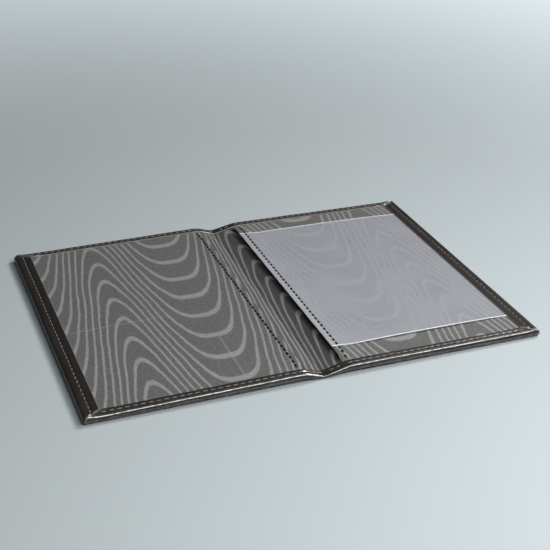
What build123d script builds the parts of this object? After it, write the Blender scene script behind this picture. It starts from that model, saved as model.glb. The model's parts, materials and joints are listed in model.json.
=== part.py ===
from build123d import *
from math import asin, atan2, cos, degrees, floor, hypot, radians, sin, tan
import os

# Order pad holder, lying open: two stiff padded panels and a soft spine that dips between them.
# Millimetres. X runs across the open holder, Y from front to back, Z up.
# The origin is on the table, under the middle of the spine.

# overall sizes
panel_width = 114.3  # from the ridge beside the spine to the outer edge
panel_depth = 177.8
spine_width = 20.4  # between the two ridges
ridge_lift = 1.1  # height of a panel's underside at its ridge, above the table
closed_room = 8.0  # between the two pocket panels when the holder is shut on a pad

# sheet thicknesses
cover_thickness = 0.6
padding_thickness = 0.45
board_thickness = 1.5
lining_thickness = 0.25
pocket_mouth_gap = 0.1
pocket_thickness = 0.25
vinyl_thickness = 0.25

# the rolled edge and the turned hems
edge_roll = 1.3  # from a panel's outside edge in to its board
edge_round = 1.65
corner_round = 2.0
side_hem = 9.3
end_hem = 5.65
mitre_width = 0.25
mitre_depth = 0.2
mitre_end_gap = 0.5  # from the opening's corner to the fold's groove

# the soft spine
spine_rest_half = 2.0  # half width of the strip that lies flat on the table
spine_round_share = edge_round / 4.0  # rounding of its ends, as a share of the height there

# boards, pocket panels and window
board_setback = 1.3  # from the ridge to the board
pocket_setback = 0.5  # from the ridge to the pocket panel's folded edge
pocket_turn = 7.0  # width of the edge turned under
pocket_nose = 0.2
vinyl_setback = 0.65
vinyl_end_inset = 19.4  # from the front or back edge
vinyl_tuck = 4.0  # width held under the side hem
vinyl_fit = 0.05

# stitches
stitch_pitch = 3.875
stitch_length = 2.7
stitch_width = 0.5
stitch_height = 0.2
stitch_taper = 35
pocket_seam_inset = 2.95  # from the folded edge
side_seam_inset = 4.65  # from the outer edge
end_seam_inset = 3.3  # from the front or back edge
seam_end_gap = 1.0  # from the ridge to the first stitch

# folds
hinge_gap = 0.15  # each side of a fold line
notch_margin = 0.5  # degrees

# heights in a panel, from its underside
board_base = cover_thickness + padding_thickness
lining_base = board_base + board_thickness
lining_top = lining_base + lining_thickness
turn_base = lining_top + pocket_mouth_gap
pocket_base = turn_base + pocket_thickness
pocket_top = pocket_base + pocket_thickness
panel_thickness = pocket_top + cover_thickness

# places that follow from the sizes
inner_width = panel_width - edge_roll
inner_depth = panel_depth - 2 * edge_roll
window_width = panel_width - side_hem
window_depth = panel_depth - 2 * end_hem
vinyl_length = panel_depth - 2 * vinyl_end_inset
panel_tilt = asin(ridge_lift / (panel_width - edge_round))
ridge_x = spine_width / 2
ridge_top = ridge_lift + panel_thickness
valley_lining_top = cover_thickness + lining_thickness
valley_top = valley_lining_top + cover_thickness

# fold lines: one along each ridge, one along the valley, each at the top face of the lining
ridge_fold_x = ridge_x + lining_top * sin(panel_tilt)
ridge_fold_z = ridge_lift + lining_top * cos(panel_tilt)
valley_fold_z = valley_lining_top

# turns from lying open to shut on a pad, in degrees
fold_rise = ridge_fold_z - valley_fold_z
half_spine = hypot(ridge_fold_x, fold_rise)
spine_slope = degrees(atan2(fold_rise, ridge_fold_x))
shut_distance = closed_room + 2 * (pocket_top - lining_top)
shut_half_angle = degrees(asin(shut_distance / 2 / half_spine))
valley_turn = 180 - 2 * spine_slope - 2 * shut_half_angle
ridge_turn = spine_slope + degrees(panel_tilt) + shut_half_angle


def panel_plane(side):
    """Plane of a panel's underside: x outward from the ridge, z up through the panel."""
    return Plane(
        origin=(side * ridge_x, 0, ridge_lift),
        x_dir=(side * cos(panel_tilt), 0, -sin(panel_tilt)),
        z_dir=(side * sin(panel_tilt), 0, cos(panel_tilt)),
    )


def profile_plane(side):
    """Upright plane across the spine: x outward from the valley, y up."""
    return Plane(origin=(0, 0, 0), x_dir=(side, 0, 0), z_dir=(0, -side, 0))


def panel_profile_plane(side):
    """Upright plane across a panel: x outward from the ridge, y up through the panel."""
    base = panel_plane(side)
    return Plane(origin=base.origin, x_dir=base.x_dir, z_dir=-base.y_dir)


def hinge_notch(fold_x, fold_z, turn, above, below):
    """The room that a fold needs, over and under its line, to turn by this angle both ways."""
    spread = tan(radians(turn / 2 + notch_margin))
    top_half = hinge_gap + above * spread
    bottom_half = hinge_gap + below * spread
    with BuildPart() as notch:
        with BuildSketch(Plane.XZ):
            with Locations((fold_x, fold_z)):
                Polygon(
                    (-top_half, above),
                    (-hinge_gap, 0),
                    (-bottom_half, -below),
                    (bottom_half, -below),
                    (hinge_gap, 0),
                    (top_half, above),
                    align=None,
                )
        extrude(amount=panel_depth, both=True)
    return notch.part


def ridge_notch(side):
    return hinge_notch(side * ridge_fold_x, ridge_fold_z, ridge_turn, cover_thickness * 4, ridge_top)


def valley_notch():
    return hinge_notch(0, valley_fold_z, valley_turn, cover_thickness * 4, valley_top)


def panel_sheet(side, base, thickness, start):
    """A flat sheet inside a panel, from this distance off the ridge out to the rolled edge."""
    with BuildPart() as sheet:
        with BuildSketch(panel_plane(side).offset(base)):
            with Locations((start, 0)):
                Rectangle(inner_width - start, inner_depth, align=(Align.MIN, Align.CENTER))
        extrude(amount=thickness)
    return sheet.part


def save(part, name):
    part.label = name
    export_step(part, f"parts/{name}.step")


def panel_cover(side, has_window):
    """The outer skin: flat underside, rolled edges on three sides and hems turned over the lining."""
    plane = panel_plane(side)
    up = Axis(plane.origin, plane.z_dir)
    outward = Axis(plane.origin, plane.x_dir)
    with BuildPart() as cover:
        with BuildSketch(plane):
            Rectangle(panel_width, panel_depth, align=(Align.MIN, Align.CENTER))
        extrude(amount=panel_thickness)
        fillet(cover.edges().filter_by(up).group_by(outward)[-1], radius=corner_round)
        rims = cover.faces().filter_by(up).edges()
        spine_side = rims.group_by(outward)[0]
        fillet([rim for rim in rims if rim not in spine_side], radius=edge_round)

        # the room for the padding, board, lining and pocket panel
        with BuildSketch(plane.offset(cover_thickness)):
            Rectangle(inner_width, inner_depth, align=(Align.MIN, Align.CENTER))
        extrude(amount=pocket_top - cover_thickness, mode=Mode.SUBTRACT)

        # the opening that the hems leave
        with BuildSketch(plane.offset(pocket_top)):
            Rectangle(window_width, window_depth, align=(Align.MIN, Align.CENTER))
        extrude(amount=cover_thickness, mode=Mode.SUBTRACT)

        # the mitred folds in the two outer corners
        mitre_length = hypot(side_hem, end_hem) - 2 * mitre_end_gap
        mitre_angle = degrees(atan2(end_hem, side_hem))
        for end in (1, -1):
            with BuildSketch(plane.offset(panel_thickness)):
                with Locations((panel_width - side_hem / 2, end * (panel_depth - end_hem) / 2)):
                    Rectangle(mitre_length, mitre_width, rotation=end * mitre_angle)
            extrude(amount=-mitre_depth, mode=Mode.SUBTRACT)

        if has_window:
            # the hem lies over the outer edge of the clear window
            with BuildSketch(plane.offset(pocket_top)):
                with Locations((window_width, 0)):
                    Rectangle(
                        vinyl_tuck + vinyl_fit,
                        vinyl_length + 2 * vinyl_fit,
                        align=(Align.MIN, Align.CENTER),
                    )
            extrude(amount=vinyl_thickness + vinyl_fit, mode=Mode.SUBTRACT)

        add(ridge_notch(side), mode=Mode.SUBTRACT)
    return cover.part


def panel_lining(side):
    """The backing lining, which runs on over the spine."""
    with BuildPart() as lining:
        add(panel_sheet(side, lining_base, lining_thickness, 0))
        add(ridge_notch(side), mode=Mode.SUBTRACT)
    return lining.part


def pocket_panel(side):
    """The upper lining panel, with its edge beside the spine turned under."""
    with BuildPart() as pocket:
        with BuildSketch(panel_profile_plane(side)):
            with Locations((pocket_setback, pocket_base)):
                Rectangle(
                    inner_width - pocket_setback, pocket_thickness, align=(Align.MIN, Align.MIN)
                )
            with Locations((pocket_setback, turn_base)):
                Rectangle(pocket_turn, pocket_thickness, align=(Align.MIN, Align.MIN))
        extrude(amount=inner_depth / 2, both=True)
        outward = Axis(panel_plane(side).origin, panel_plane(side).x_dir)
        folded_edge = pocket.edges().filter_by(Axis.Y).group_by(outward)[0]
        fillet(folded_edge, radius=pocket_nose)
    return pocket.part


def stitch_count(length):
    """How many stitches fit in this length."""
    return floor((length - stitch_length) / stitch_pitch) + 1


vinyl_stitches = stitch_count(vinyl_length)
end_stitches = stitch_count((window_depth - vinyl_stitches * stitch_pitch) / 2)
pocket_seam_x = pocket_setback + pocket_seam_inset
side_seam_x = panel_width - side_seam_inset
end_seam_y = panel_depth / 2 - end_seam_inset


def pocket_stitching(side, has_window):
    """The row of stitches along the pocket panel's folded edge, and through the window's edge."""
    plane = panel_plane(side)
    vinyl_height = pocket_top + vinyl_thickness if has_window else pocket_top
    end_row_y = (vinyl_stitches + end_stitches) * stitch_pitch / 2
    with BuildPart() as seam:
        with BuildSketch(plane.offset(vinyl_height)):
            with Locations((pocket_seam_x, 0)):
                with GridLocations(1, stitch_pitch, 1, vinyl_stitches):
                    Rectangle(stitch_width, stitch_length)
        extrude(amount=stitch_height, taper=stitch_taper)
        with BuildSketch(plane.offset(pocket_top)):
            with Locations((pocket_seam_x, end_row_y), (pocket_seam_x, -end_row_y)):
                with GridLocations(1, stitch_pitch, 1, end_stitches):
                    Rectangle(stitch_width, stitch_length)
        extrude(amount=stitch_height, taper=stitch_taper)
    return seam.part


def side_stitching(side):
    """The row of stitches along the wide outer hem."""
    with BuildPart() as seam:
        with BuildSketch(panel_plane(side).offset(panel_thickness)):
            with Locations((side_seam_x, 0)):
                with GridLocations(1, stitch_pitch, 1, stitch_count(2 * end_seam_y)):
                    Rectangle(stitch_width, stitch_length)
        extrude(amount=stitch_height, taper=stitch_taper)
    return seam.part


def end_stitching(side):
    """The rows of stitches along the front and back hems of a panel."""
    row_length = side_seam_x - seam_end_gap
    row_middle = (side_seam_x + seam_end_gap) / 2
    with BuildPart() as seam:
        with BuildSketch(panel_plane(side).offset(panel_thickness)):
            with Locations((row_middle, end_seam_y), (row_middle, -end_seam_y)):
                with GridLocations(stitch_pitch, 1, stitch_count(row_length), 1):
                    Rectangle(stitch_length, stitch_width)
        extrude(amount=stitch_height, taper=stitch_taper)
    return seam.part


def spine_line(start_z, end_z, x):
    """Height at x on a straight line from the valley to the ridge."""
    return start_z + (end_z - start_z) * x / ridge_x


def spine_cover(side):
    """Half of the spine's skin: it thins from the panel's height at the ridge to bare sheets."""
    stations = (
        (0, 0, valley_top),
        (spine_rest_half, 0, spine_line(valley_top, ridge_top, spine_rest_half)),
        (ridge_x, ridge_lift, ridge_top),
    )
    with BuildPart() as cover:
        for x, low, high in stations:
            with BuildSketch(Plane(origin=(side * x, 0, 0), x_dir=(0, side, 0), z_dir=(side, 0, 0))):
                with Locations((0, (low + high) / 2)):
                    RectangleRounded(panel_depth, high - low, spine_round_share * (high - low))
        loft(ruled=True)

        # the room between the skin and the lining's top face
        with BuildSketch(profile_plane(side)):
            Polygon(
                (0, cover_thickness),
                (spine_rest_half, cover_thickness),
                (ridge_x, ridge_lift + cover_thickness),
                (ridge_x, ridge_fold_z),
                (0, valley_lining_top),
                align=None,
            )
        extrude(amount=inner_depth / 2, both=True, mode=Mode.SUBTRACT)

        # the opening that the front and back hems leave
        with BuildSketch(profile_plane(side)):
            Polygon(
                (0, valley_lining_top),
                (ridge_x, ridge_fold_z),
                (ridge_x, ridge_top),
                (0, ridge_top),
                align=None,
            )
        extrude(amount=window_depth / 2, both=True, mode=Mode.SUBTRACT)

        add(ridge_notch(side), mode=Mode.SUBTRACT)
        add(valley_notch(), mode=Mode.SUBTRACT)
    return cover.part


def spine_lining(side):
    """Half of the spine's lining, sloping from the ridge down to the valley."""
    with BuildPart() as lining:
        with BuildSketch(profile_plane(side)):
            Polygon(
                (0, valley_lining_top),
                (0, cover_thickness),
                (ridge_x, ridge_fold_z - lining_thickness),
                (ridge_x, ridge_fold_z),
                align=None,
            )
        extrude(amount=inner_depth / 2, both=True)
        add(ridge_notch(side), mode=Mode.SUBTRACT)
        add(valley_notch(), mode=Mode.SUBTRACT)
    return lining.part


def spine_stitching(side):
    """The stitches along the front and back hems of half of the spine."""
    hem_slope = atan2(ridge_top - valley_top, ridge_x)
    hem_length = hypot(ridge_top - valley_top, ridge_x)
    plane = Plane(
        origin=(0, 0, valley_top),
        x_dir=(side * cos(hem_slope), 0, sin(hem_slope)),
        z_dir=(-side * sin(hem_slope), 0, cos(hem_slope)),
    )
    with BuildPart() as seam:
        with BuildSketch(plane):
            with Locations((hem_length / 2, end_seam_y), (hem_length / 2, -end_seam_y)):
                with GridLocations(
                    stitch_pitch, 1, stitch_count(hem_length - 2 * seam_end_gap), 1
                ):
                    Rectangle(stitch_length, stitch_width)
        extrude(amount=stitch_height, taper=stitch_taper)
    return seam.part


def vinyl_window(side):
    """The clear sheet: sewn beside the spine, held under the side hem, open at front and back."""
    with BuildPart() as window:
        with BuildSketch(panel_plane(side).offset(pocket_top)):
            with Locations((vinyl_setback, 0)):
                Rectangle(
                    window_width + vinyl_tuck - vinyl_setback,
                    vinyl_length,
                    align=(Align.MIN, Align.CENTER),
                )
        extrude(amount=vinyl_thickness)
    return window.part


os.makedirs("parts", exist_ok=True)

for name, side, has_window in (("right", 1, True), ("left", -1, False)):
    save(panel_cover(side, has_window), f"{name}_cover")
    save(panel_sheet(side, cover_thickness, padding_thickness, board_setback), f"{name}_padding")
    save(panel_sheet(side, board_base, board_thickness, board_setback), f"{name}_board")
    save(panel_lining(side), f"{name}_lining")
    save(pocket_panel(side), f"{name}_pocket_panel")
    save(pocket_stitching(side, has_window), f"{name}_pocket_stitching")
    save(side_stitching(side), f"{name}_side_stitching")
    save(end_stitching(side), f"{name}_end_stitching")
    save(spine_cover(side), f"spine_{name}_cover")
    save(spine_lining(side), f"spine_{name}_lining")
    save(spine_stitching(side), f"spine_{name}_stitching")

save(vinyl_window(1), "vinyl_window")

print(f"ridge fold at x {ridge_fold_x:.3f}, z {ridge_fold_z:.3f}; valley fold at z {valley_fold_z:.3f}")
print(f"turns: valley {valley_turn:.3f}, ridge {ridge_turn:.3f}, ratio {ridge_turn / valley_turn:.5f}")
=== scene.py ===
"""Looks of the order pad holder: skin, linings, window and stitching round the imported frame."""

import json
import logging
from dataclasses import dataclass, field
from enum import Enum
from math import ceil, cos, pi, radians, sin
from typing import Callable, Sequence

import bmesh
import bpy
import numpy as np
from mathutils import Matrix, Vector


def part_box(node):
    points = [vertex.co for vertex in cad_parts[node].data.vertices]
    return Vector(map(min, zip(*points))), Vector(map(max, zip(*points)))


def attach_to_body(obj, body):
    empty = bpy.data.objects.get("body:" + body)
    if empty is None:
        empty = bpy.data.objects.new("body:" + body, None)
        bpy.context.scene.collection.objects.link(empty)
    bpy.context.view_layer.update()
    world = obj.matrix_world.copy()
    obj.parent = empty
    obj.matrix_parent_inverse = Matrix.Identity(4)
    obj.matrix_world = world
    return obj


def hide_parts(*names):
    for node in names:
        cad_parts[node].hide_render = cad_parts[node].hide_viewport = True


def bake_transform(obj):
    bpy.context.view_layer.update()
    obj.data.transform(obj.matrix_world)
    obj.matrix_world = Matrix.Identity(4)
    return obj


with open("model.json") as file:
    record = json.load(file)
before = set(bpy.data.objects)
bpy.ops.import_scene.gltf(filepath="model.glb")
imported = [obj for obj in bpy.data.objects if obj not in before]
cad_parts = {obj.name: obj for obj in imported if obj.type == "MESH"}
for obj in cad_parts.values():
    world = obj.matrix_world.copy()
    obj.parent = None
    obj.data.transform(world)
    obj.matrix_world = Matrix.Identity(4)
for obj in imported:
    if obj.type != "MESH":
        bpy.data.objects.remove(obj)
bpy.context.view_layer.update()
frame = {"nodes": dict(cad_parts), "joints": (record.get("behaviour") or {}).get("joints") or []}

MM = 0.001
FULL_TURN = 2 * pi
FINE_STEP = 0.646 * MM  # about a sixth of a stitch's pitch
FIGURE_PITCH = 21.7 * MM  # from one watered line up to the next

log = logging.getLogger("order_pad_holder")


# Sizes


class Side(Enum):
    """Which half of the open holder a piece belongs to; the value is the sign of its X."""

    RIGHT = 1
    LEFT = -1

    @property
    def word(self) -> str:
        """The side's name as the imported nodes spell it."""
        return self.name.lower()


class Facing(Enum):
    """The way a row of stitches faces; the value is the stitch's turn about its own length."""

    UP = 0.0
    DOWN = pi


@dataclass(frozen=True)
class HolderSizes:
    """Sizes of the holder in metres: outline and fold lines from the frame, layers by name."""

    half_width: float
    half_depth: float
    ridge_x: float
    ridge_z: float
    valley_z: float
    panel_thickness: float = 4.0 * MM
    cover_thickness: float = 0.6 * MM
    lining_thickness: float = 0.25 * MM
    lining_rise: float = 2.8 * MM
    pocket_rise: float = 3.4 * MM
    side_hem: float = 9.3 * MM
    end_hem: float = 5.65 * MM
    inner_setback: float = 1.3 * MM
    stitch_pitch: float = 3.875 * MM
    stitch_length: float = 2.7 * MM
    valley_shift: float = -2.0 * MM

    @classmethod
    def from_frame(cls) -> "HolderSizes":
        """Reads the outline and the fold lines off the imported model.

        Returns:
            The sizes of this holder.
        """
        places = {joint["name"]: joint["pos_m"] for joint in frame["joints"]}
        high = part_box("right_cover")[1]
        ridge = places["right_ridge_fold"]
        return cls(
            half_width=high.x,
            half_depth=high.y,
            ridge_x=ridge[0],
            ridge_z=ridge[2],
            valley_z=places["spine_fold"][2],
        )

    @property
    def ridge_lift(self) -> float:
        """Height of a panel's underside at its ridge."""
        return self.ridge_z - self.lining_rise

    @property
    def half_spine(self) -> float:
        """Distance from the valley to the middle of a half of the spine."""
        return self.ridge_x / 2

    def panel_base(self, x: np.ndarray) -> np.ndarray:
        """Height of a panel's underside at x, which falls from the ridge to the outer edge."""
        reach = (self.half_width - np.abs(x)) / (self.half_width - self.ridge_x)
        return self.ridge_lift * reach


def soft_line(x: np.ndarray, knots: Sequence[tuple], softness: Sequence[float]) -> np.ndarray:
    """Heights on a run of straight lines whose corners are rounded.

    Args:
        x: Places to find the height at.
        knots: Places and heights of the line's points, from left to right.
        softness: How far the rounding of each inner point reaches, in metres.

    Returns:
        The height at each place.
    """
    at = [knot[0] for knot in knots]
    height = [knot[1] for knot in knots]
    slopes = [(height[i + 1] - height[i]) / (at[i + 1] - at[i]) for i in range(len(at) - 1)]
    line = height[0] + slopes[0] * (x - at[0])
    for i, soft in enumerate(softness):
        gap = x - at[i + 1]
        line = line + (slopes[i + 1] - slopes[i]) * (gap + np.sqrt(gap**2 + soft**2)) / 2
    return line


def smooth_step(low: float, high: float, value: np.ndarray) -> np.ndarray:
    """A soft change from 0 at low to 1 at high."""
    share = np.clip((value - low) / (high - low), 0.0, 1.0)
    return share * share * (3 - 2 * share)


def bump(value: np.ndarray, centre: float, reach: float) -> np.ndarray:
    """A soft hill of height 1 round a centre."""
    return np.exp(-(((value - centre) / reach) ** 2))


def ripples(value: np.ndarray, lengths: Sequence[float], start: float) -> np.ndarray:
    """Uneven small waves between about -1 and 1.

    Args:
        value: Places along the waves.
        lengths: The wave lengths that are added up, in metres.
        start: Where in its first wave each one begins, so that pieces differ.

    Returns:
        The wave's height at each place.
    """
    total = np.zeros_like(value)
    for i, length in enumerate(lengths):
        total = total + np.sin(FULL_TURN * value / length + start * (i + 1) ** 2)
    return total / len(lengths)


@dataclass(frozen=True)
class SpineSection:
    """Heights across the open holder: two panels, two rounded ridges and the valley."""

    sizes: HolderSizes
    ridge_softness: float = 1.7 * MM
    valley_softness: float = 1.0 * MM
    crease_softness: float = 0.6 * MM
    rest_half: float = 2.0 * MM
    hem_slack: float = 2.0 * MM

    def _over(
        self, x: np.ndarray, rise: float, valley: float, soft: float, wider: float = 0.0
    ) -> np.ndarray:
        """Height of a sheet that lies this far above the panels and dips to the valley."""
        s = self.sizes
        ridge = s.ridge_x + wider
        top = float(s.panel_base(np.array([ridge]))[0]) + rise
        knots = (
            (-s.half_width, rise),
            (-ridge, top),
            (s.valley_shift, valley),
            (ridge, top),
            (s.half_width, rise),
        )
        return soft_line(x, knots, (self.ridge_softness, soft, self.ridge_softness))

    def under(self, x: np.ndarray) -> np.ndarray:
        """Height of the skin's underside, which rests on the valley and both outer edges."""
        s = self.sizes
        knots = (
            (-s.half_width, 0.0),
            (-s.ridge_x, s.ridge_lift),
            (s.valley_shift - self.rest_half, 0.0),
            (s.valley_shift + self.rest_half, 0.0),
            (s.ridge_x, s.ridge_lift),
            (s.half_width, 0.0),
        )
        ridge, valley = self.ridge_softness, self.valley_softness
        soft = (ridge, valley, valley, ridge)
        lowest = soft_line(np.array([s.valley_shift]), knots, soft)[0]
        return np.maximum(soft_line(x, knots, soft) - lowest, 0.0)

    def lining(self, x: np.ndarray) -> np.ndarray:
        """Height of the backing lining's top face."""
        return self._over(x, self.sizes.lining_rise, self.sizes.valley_z, self.crease_softness)

    def hem(self, x: np.ndarray) -> np.ndarray:
        """Height of the hems' top face."""
        s = self.sizes
        return self._over(
            x,
            s.panel_thickness,
            s.valley_z + s.cover_thickness,
            self.valley_softness,
            self.hem_slack,
        )

    def pocket(self, x: np.ndarray, y: np.ndarray) -> np.ndarray:
        """Height of a pocket panel's top face, pressed down where the hems lie over it."""
        s = self.sizes
        flat = s.panel_base(x) + s.pocket_rise
        pressed = np.minimum(flat, self.hem(x) - s.cover_thickness)
        hem_line = s.half_depth - s.end_hem
        share = smooth_step(hem_line - 6 * MM, hem_line - 0.5 * MM, np.abs(y))
        return flat + (pressed - flat) * share


# Meshes


def place_object(name: str, data: bpy.types.ID) -> bpy.types.Object:
    """Puts a mesh, lamp or camera into the scene, at the origin."""
    made = bpy.data.objects.new(name, data)
    bpy.context.scene.collection.objects.link(made)
    return made


def make_piece(
    name: str,
    vertices: np.ndarray,
    faces: Sequence[Sequence[int]],
    material: bpy.types.Material,
    cloth: np.ndarray | None = None,
    masks: dict[str, np.ndarray] | None = None,
    sharp_angle: float = 50.0,
) -> bpy.types.Object:
    """Makes a mesh object at the origin, with its place in its mesh.

    Args:
        name: Name of the piece.
        vertices: Places of the points, in metres.
        faces: Point numbers of each face, anticlockwise from outside.
        material: The finish of the whole piece.
        cloth: Place of each point on the flat cloth, in metres, for the UV map.
        masks: Named values for each point, kept as attributes.
        sharp_angle: Edges that turn by more than this many degrees stay sharp.

    Returns:
        The new object, in the scene.
    """
    mesh = bpy.data.meshes.new(name)
    mesh.from_pydata(np.asarray(vertices, float).tolist(), [], [tuple(map(int, f)) for f in faces])
    for mask, values in (masks or {}).items():
        attribute = mesh.attributes.new(mask, "FLOAT", "POINT")
        attribute.data.foreach_set("value", np.asarray(values, np.float32))
    if cloth is not None:
        corners = np.empty(len(mesh.loops), np.int32)
        mesh.loops.foreach_get("vertex_index", corners)
        layer = mesh.uv_layers.new(name="Cloth")
        layer.data.foreach_set("uv", np.asarray(cloth, np.float32)[corners].ravel())
    mesh.materials.append(material)
    mesh.shade_smooth()
    mesh.set_sharp_from_angle(angle=radians(sharp_angle))
    return place_object(name, mesh)


def band_faces(first: int, second: int, count: int, closed: bool) -> list[tuple[int, ...]]:
    """Quads between two rows of points, facing left of the way from the first to the second."""
    steps = range(count if closed else count - 1)
    return [
        (first + i, second + i, second + (i + 1) % count, first + (i + 1) % count) for i in steps
    ]


def loft(sections: np.ndarray) -> tuple[np.ndarray, list[tuple[int, ...]]]:
    """Joins closed outlines, one behind the other along Y, to a closed solid.

    Args:
        sections: Places of shape (outlines, points, 3); each outline runs anticlockwise when
            seen from the front.

    Returns:
        The points and the faces.
    """
    rows, count, _ = sections.shape
    faces: list[tuple[int, ...]] = []
    for row in range(rows - 1):
        faces += band_faces((row + 1) * count, row * count, count, True)
    faces.append(tuple(range(count)))
    faces.append(tuple(reversed(range((rows - 1) * count, rows * count))))
    return sections.reshape(-1, 3), faces


def even_run(start: float, end: float, spacing: float) -> np.ndarray:
    """Evenly spaced places from start to end, no further apart than the spacing."""
    return np.linspace(start, end, ceil(abs(end - start) / spacing) + 1)


def sheet_sections(
    x: np.ndarray,
    y: np.ndarray,
    top: Callable[[np.ndarray, np.ndarray], np.ndarray],
    bottom: Callable[[np.ndarray, np.ndarray], np.ndarray],
) -> np.ndarray:
    """Outlines of a thin sheet, for loft.

    Args:
        x: Places across the sheet, rising.
        y: Places along the sheet, rising.
        top: Height of the top face at x and y.
        bottom: Height of the bottom face at x and y.

    Returns:
        An array of outlines, which run out along the bottom and back along the top.
    """
    around = np.concatenate((x, x[::-1]))
    across, along = np.meshgrid(around, y)
    below, above = np.s_[:, : len(x)], np.s_[:, len(x) :]
    parts = (bottom(across[below], along[below]), top(across[above], along[above]))
    heights = np.concatenate(parts, axis=1)
    return np.stack((across, along, heights), axis=-1)


# Shader nodes


class Graph:
    """Adds nodes to one node tree and links them."""

    def __init__(self, tree: bpy.types.NodeTree) -> None:
        """Keeps the tree that nodes are added to."""
        self.tree = tree

    def put(self, socket: bpy.types.NodeSocket, value: object) -> None:
        """Links an output to the socket, or sets the socket's own value."""
        if isinstance(value, bpy.types.NodeSocket):
            self.tree.links.new(value, socket)
        else:
            socket.default_value = value

    def add(self, kind: str, inputs: dict | None = None, **settings: object) -> bpy.types.Node:
        """Adds one node.

        Args:
            kind: The node's type.
            inputs: Values or links by input name or number.
            settings: Properties of the node.

        Returns:
            The node.
        """
        node = self.tree.nodes.new(kind)
        for key, value in settings.items():
            setattr(node, key, value)
        for key, value in (inputs or {}).items():
            self.put(node.inputs[key], value)
        return node

    def math(self, operation: str, *values: object) -> bpy.types.NodeSocket:
        """One step of arithmetic."""
        return self.add("ShaderNodeMath", dict(enumerate(values)), operation=operation).outputs[0]

    def times(self, first: object, second: object) -> bpy.types.NodeSocket:
        """The product of two values."""
        return self.math("MULTIPLY", first, second)

    def over(self, first: object, second: object) -> bpy.types.NodeSocket:
        """The first value divided by the second."""
        return self.math("DIVIDE", first, second)

    def plus(self, first: object, second: object) -> bpy.types.NodeSocket:
        """The sum of two values."""
        return self.math("ADD", first, second)

    def minus(self, first: object, second: object) -> bpy.types.NodeSocket:
        """The first value less the second."""
        return self.math("SUBTRACT", first, second)

    def scaled(self, value: object, factor: object, offset: object) -> bpy.types.NodeSocket:
        """A value times a factor, plus an offset."""
        return self.math("MULTIPLY_ADD", value, factor, offset)

    def ramp(self, value: object, low: object, high: object) -> bpy.types.NodeSocket:
        """A soft change from 0 at low to 1 at high."""
        inputs = {"Value": value, "From Min": low, "From Max": high}
        return self.add("ShaderNodeMapRange", inputs, interpolation_type="SMOOTHSTEP").outputs[0]

    def spread(self, value: object, low: float, high: float) -> bpy.types.NodeSocket:
        """Stretches a value from 0..1 to low..high."""
        return self.add(
            "ShaderNodeMapRange", {"Value": value, "To Min": low, "To Max": high}
        ).outputs[0]

    def noise(self, where: object, size: float, detail: float = 2.0) -> bpy.types.NodeSocket:
        """Smooth noise whose features are about this size, in metres."""
        inputs = {"Vector": where, "Scale": 1 / size, "Detail": detail}
        return self.add("ShaderNodeTexNoise", inputs).outputs["Fac"]

    def mix(self, share: object, first: object, second: object) -> bpy.types.NodeSocket:
        """Blends two colours."""
        node = self.add("ShaderNodeMix", data_type="RGBA")
        self.put(node.inputs[0], share)
        self.put(node.inputs[6], first)
        self.put(node.inputs[7], second)
        return node.outputs[2]

    def split(self, vector: object) -> tuple:
        """The three parts of a vector."""
        return tuple(self.add("ShaderNodeSeparateXYZ", {0: vector}).outputs)

    def join(self, x: object, y: object, z: object) -> bpy.types.NodeSocket:
        """A vector from its three parts."""
        return self.add("ShaderNodeCombineXYZ", {0: x, 1: y, 2: z}).outputs[0]

    def effect(self, group: bpy.types.NodeTree, inputs: dict) -> bpy.types.Node:
        """Places a node group with this material's own values."""
        return self.add("ShaderNodeGroup", inputs, node_tree=group)


def new_group(name: str, inputs: dict[str, object], outputs: Sequence[str]) -> tuple:
    """Starts a shader node group whose sockets have names.

    Args:
        name: Name of the group.
        inputs: Input names, each with a first value: a number, or None for a vector.
        outputs: Names of the value outputs.

    Returns:
        The group, its graph, its input sockets by name and its output node.
    """
    group = bpy.data.node_groups.new(name, "ShaderNodeTree")
    for key, value in inputs.items():
        kind = "NodeSocketVector" if value is None else "NodeSocketFloat"
        socket = group.interface.new_socket(key, in_out="INPUT", socket_type=kind)
        if value is not None:
            socket.default_value = value
    for key in outputs:
        group.interface.new_socket(key, in_out="OUTPUT", socket_type="NodeSocketFloat")
    graph = Graph(group)
    taken = graph.add("NodeGroupInput").outputs
    return group, graph, {key: taken[key] for key in inputs}, graph.add("NodeGroupOutput")


def grain_group() -> bpy.types.NodeTree:
    """Fine pebbled grain of coated leathercloth.

    Returns:
        A group that gives the height of the grain, the depth of its creases and slow blotches.
    """
    group, g, taken, given = new_group(
        "Pebbled grain", {"Vector": None, "Pebble": 0.6 * MM}, ("Height", "Crease", "Blotch")
    )
    scale = g.over(1.0, taken["Pebble"])
    drift = g.noise(taken["Vector"], 1.1 * MM)
    shift = g.add("ShaderNodeVectorMath", {0: taken["Vector"]}, operation="ADD")
    offset = g.times(drift, 0.35 * MM)
    g.put(shift.inputs[1], g.join(offset, offset, 0.0))
    cells = g.add(
        "ShaderNodeTexVoronoi", {"Vector": shift.outputs[0], "Scale": scale}, feature="SMOOTH_F1"
    ).outputs["Distance"]
    crease = g.ramp(cells, 0.35, 0.75)
    fine = g.noise(taken["Vector"], 0.16 * MM)
    rise = g.scaled(g.noise(taken["Vector"], 2.2 * MM), 2.5, g.minus(1.0, crease))
    g.put(given.inputs["Height"], g.scaled(fine, 0.35, rise))
    g.put(given.inputs["Crease"], crease)
    g.put(given.inputs["Blotch"], g.noise(taken["Vector"], 14 * MM, 3.0))
    return group


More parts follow.
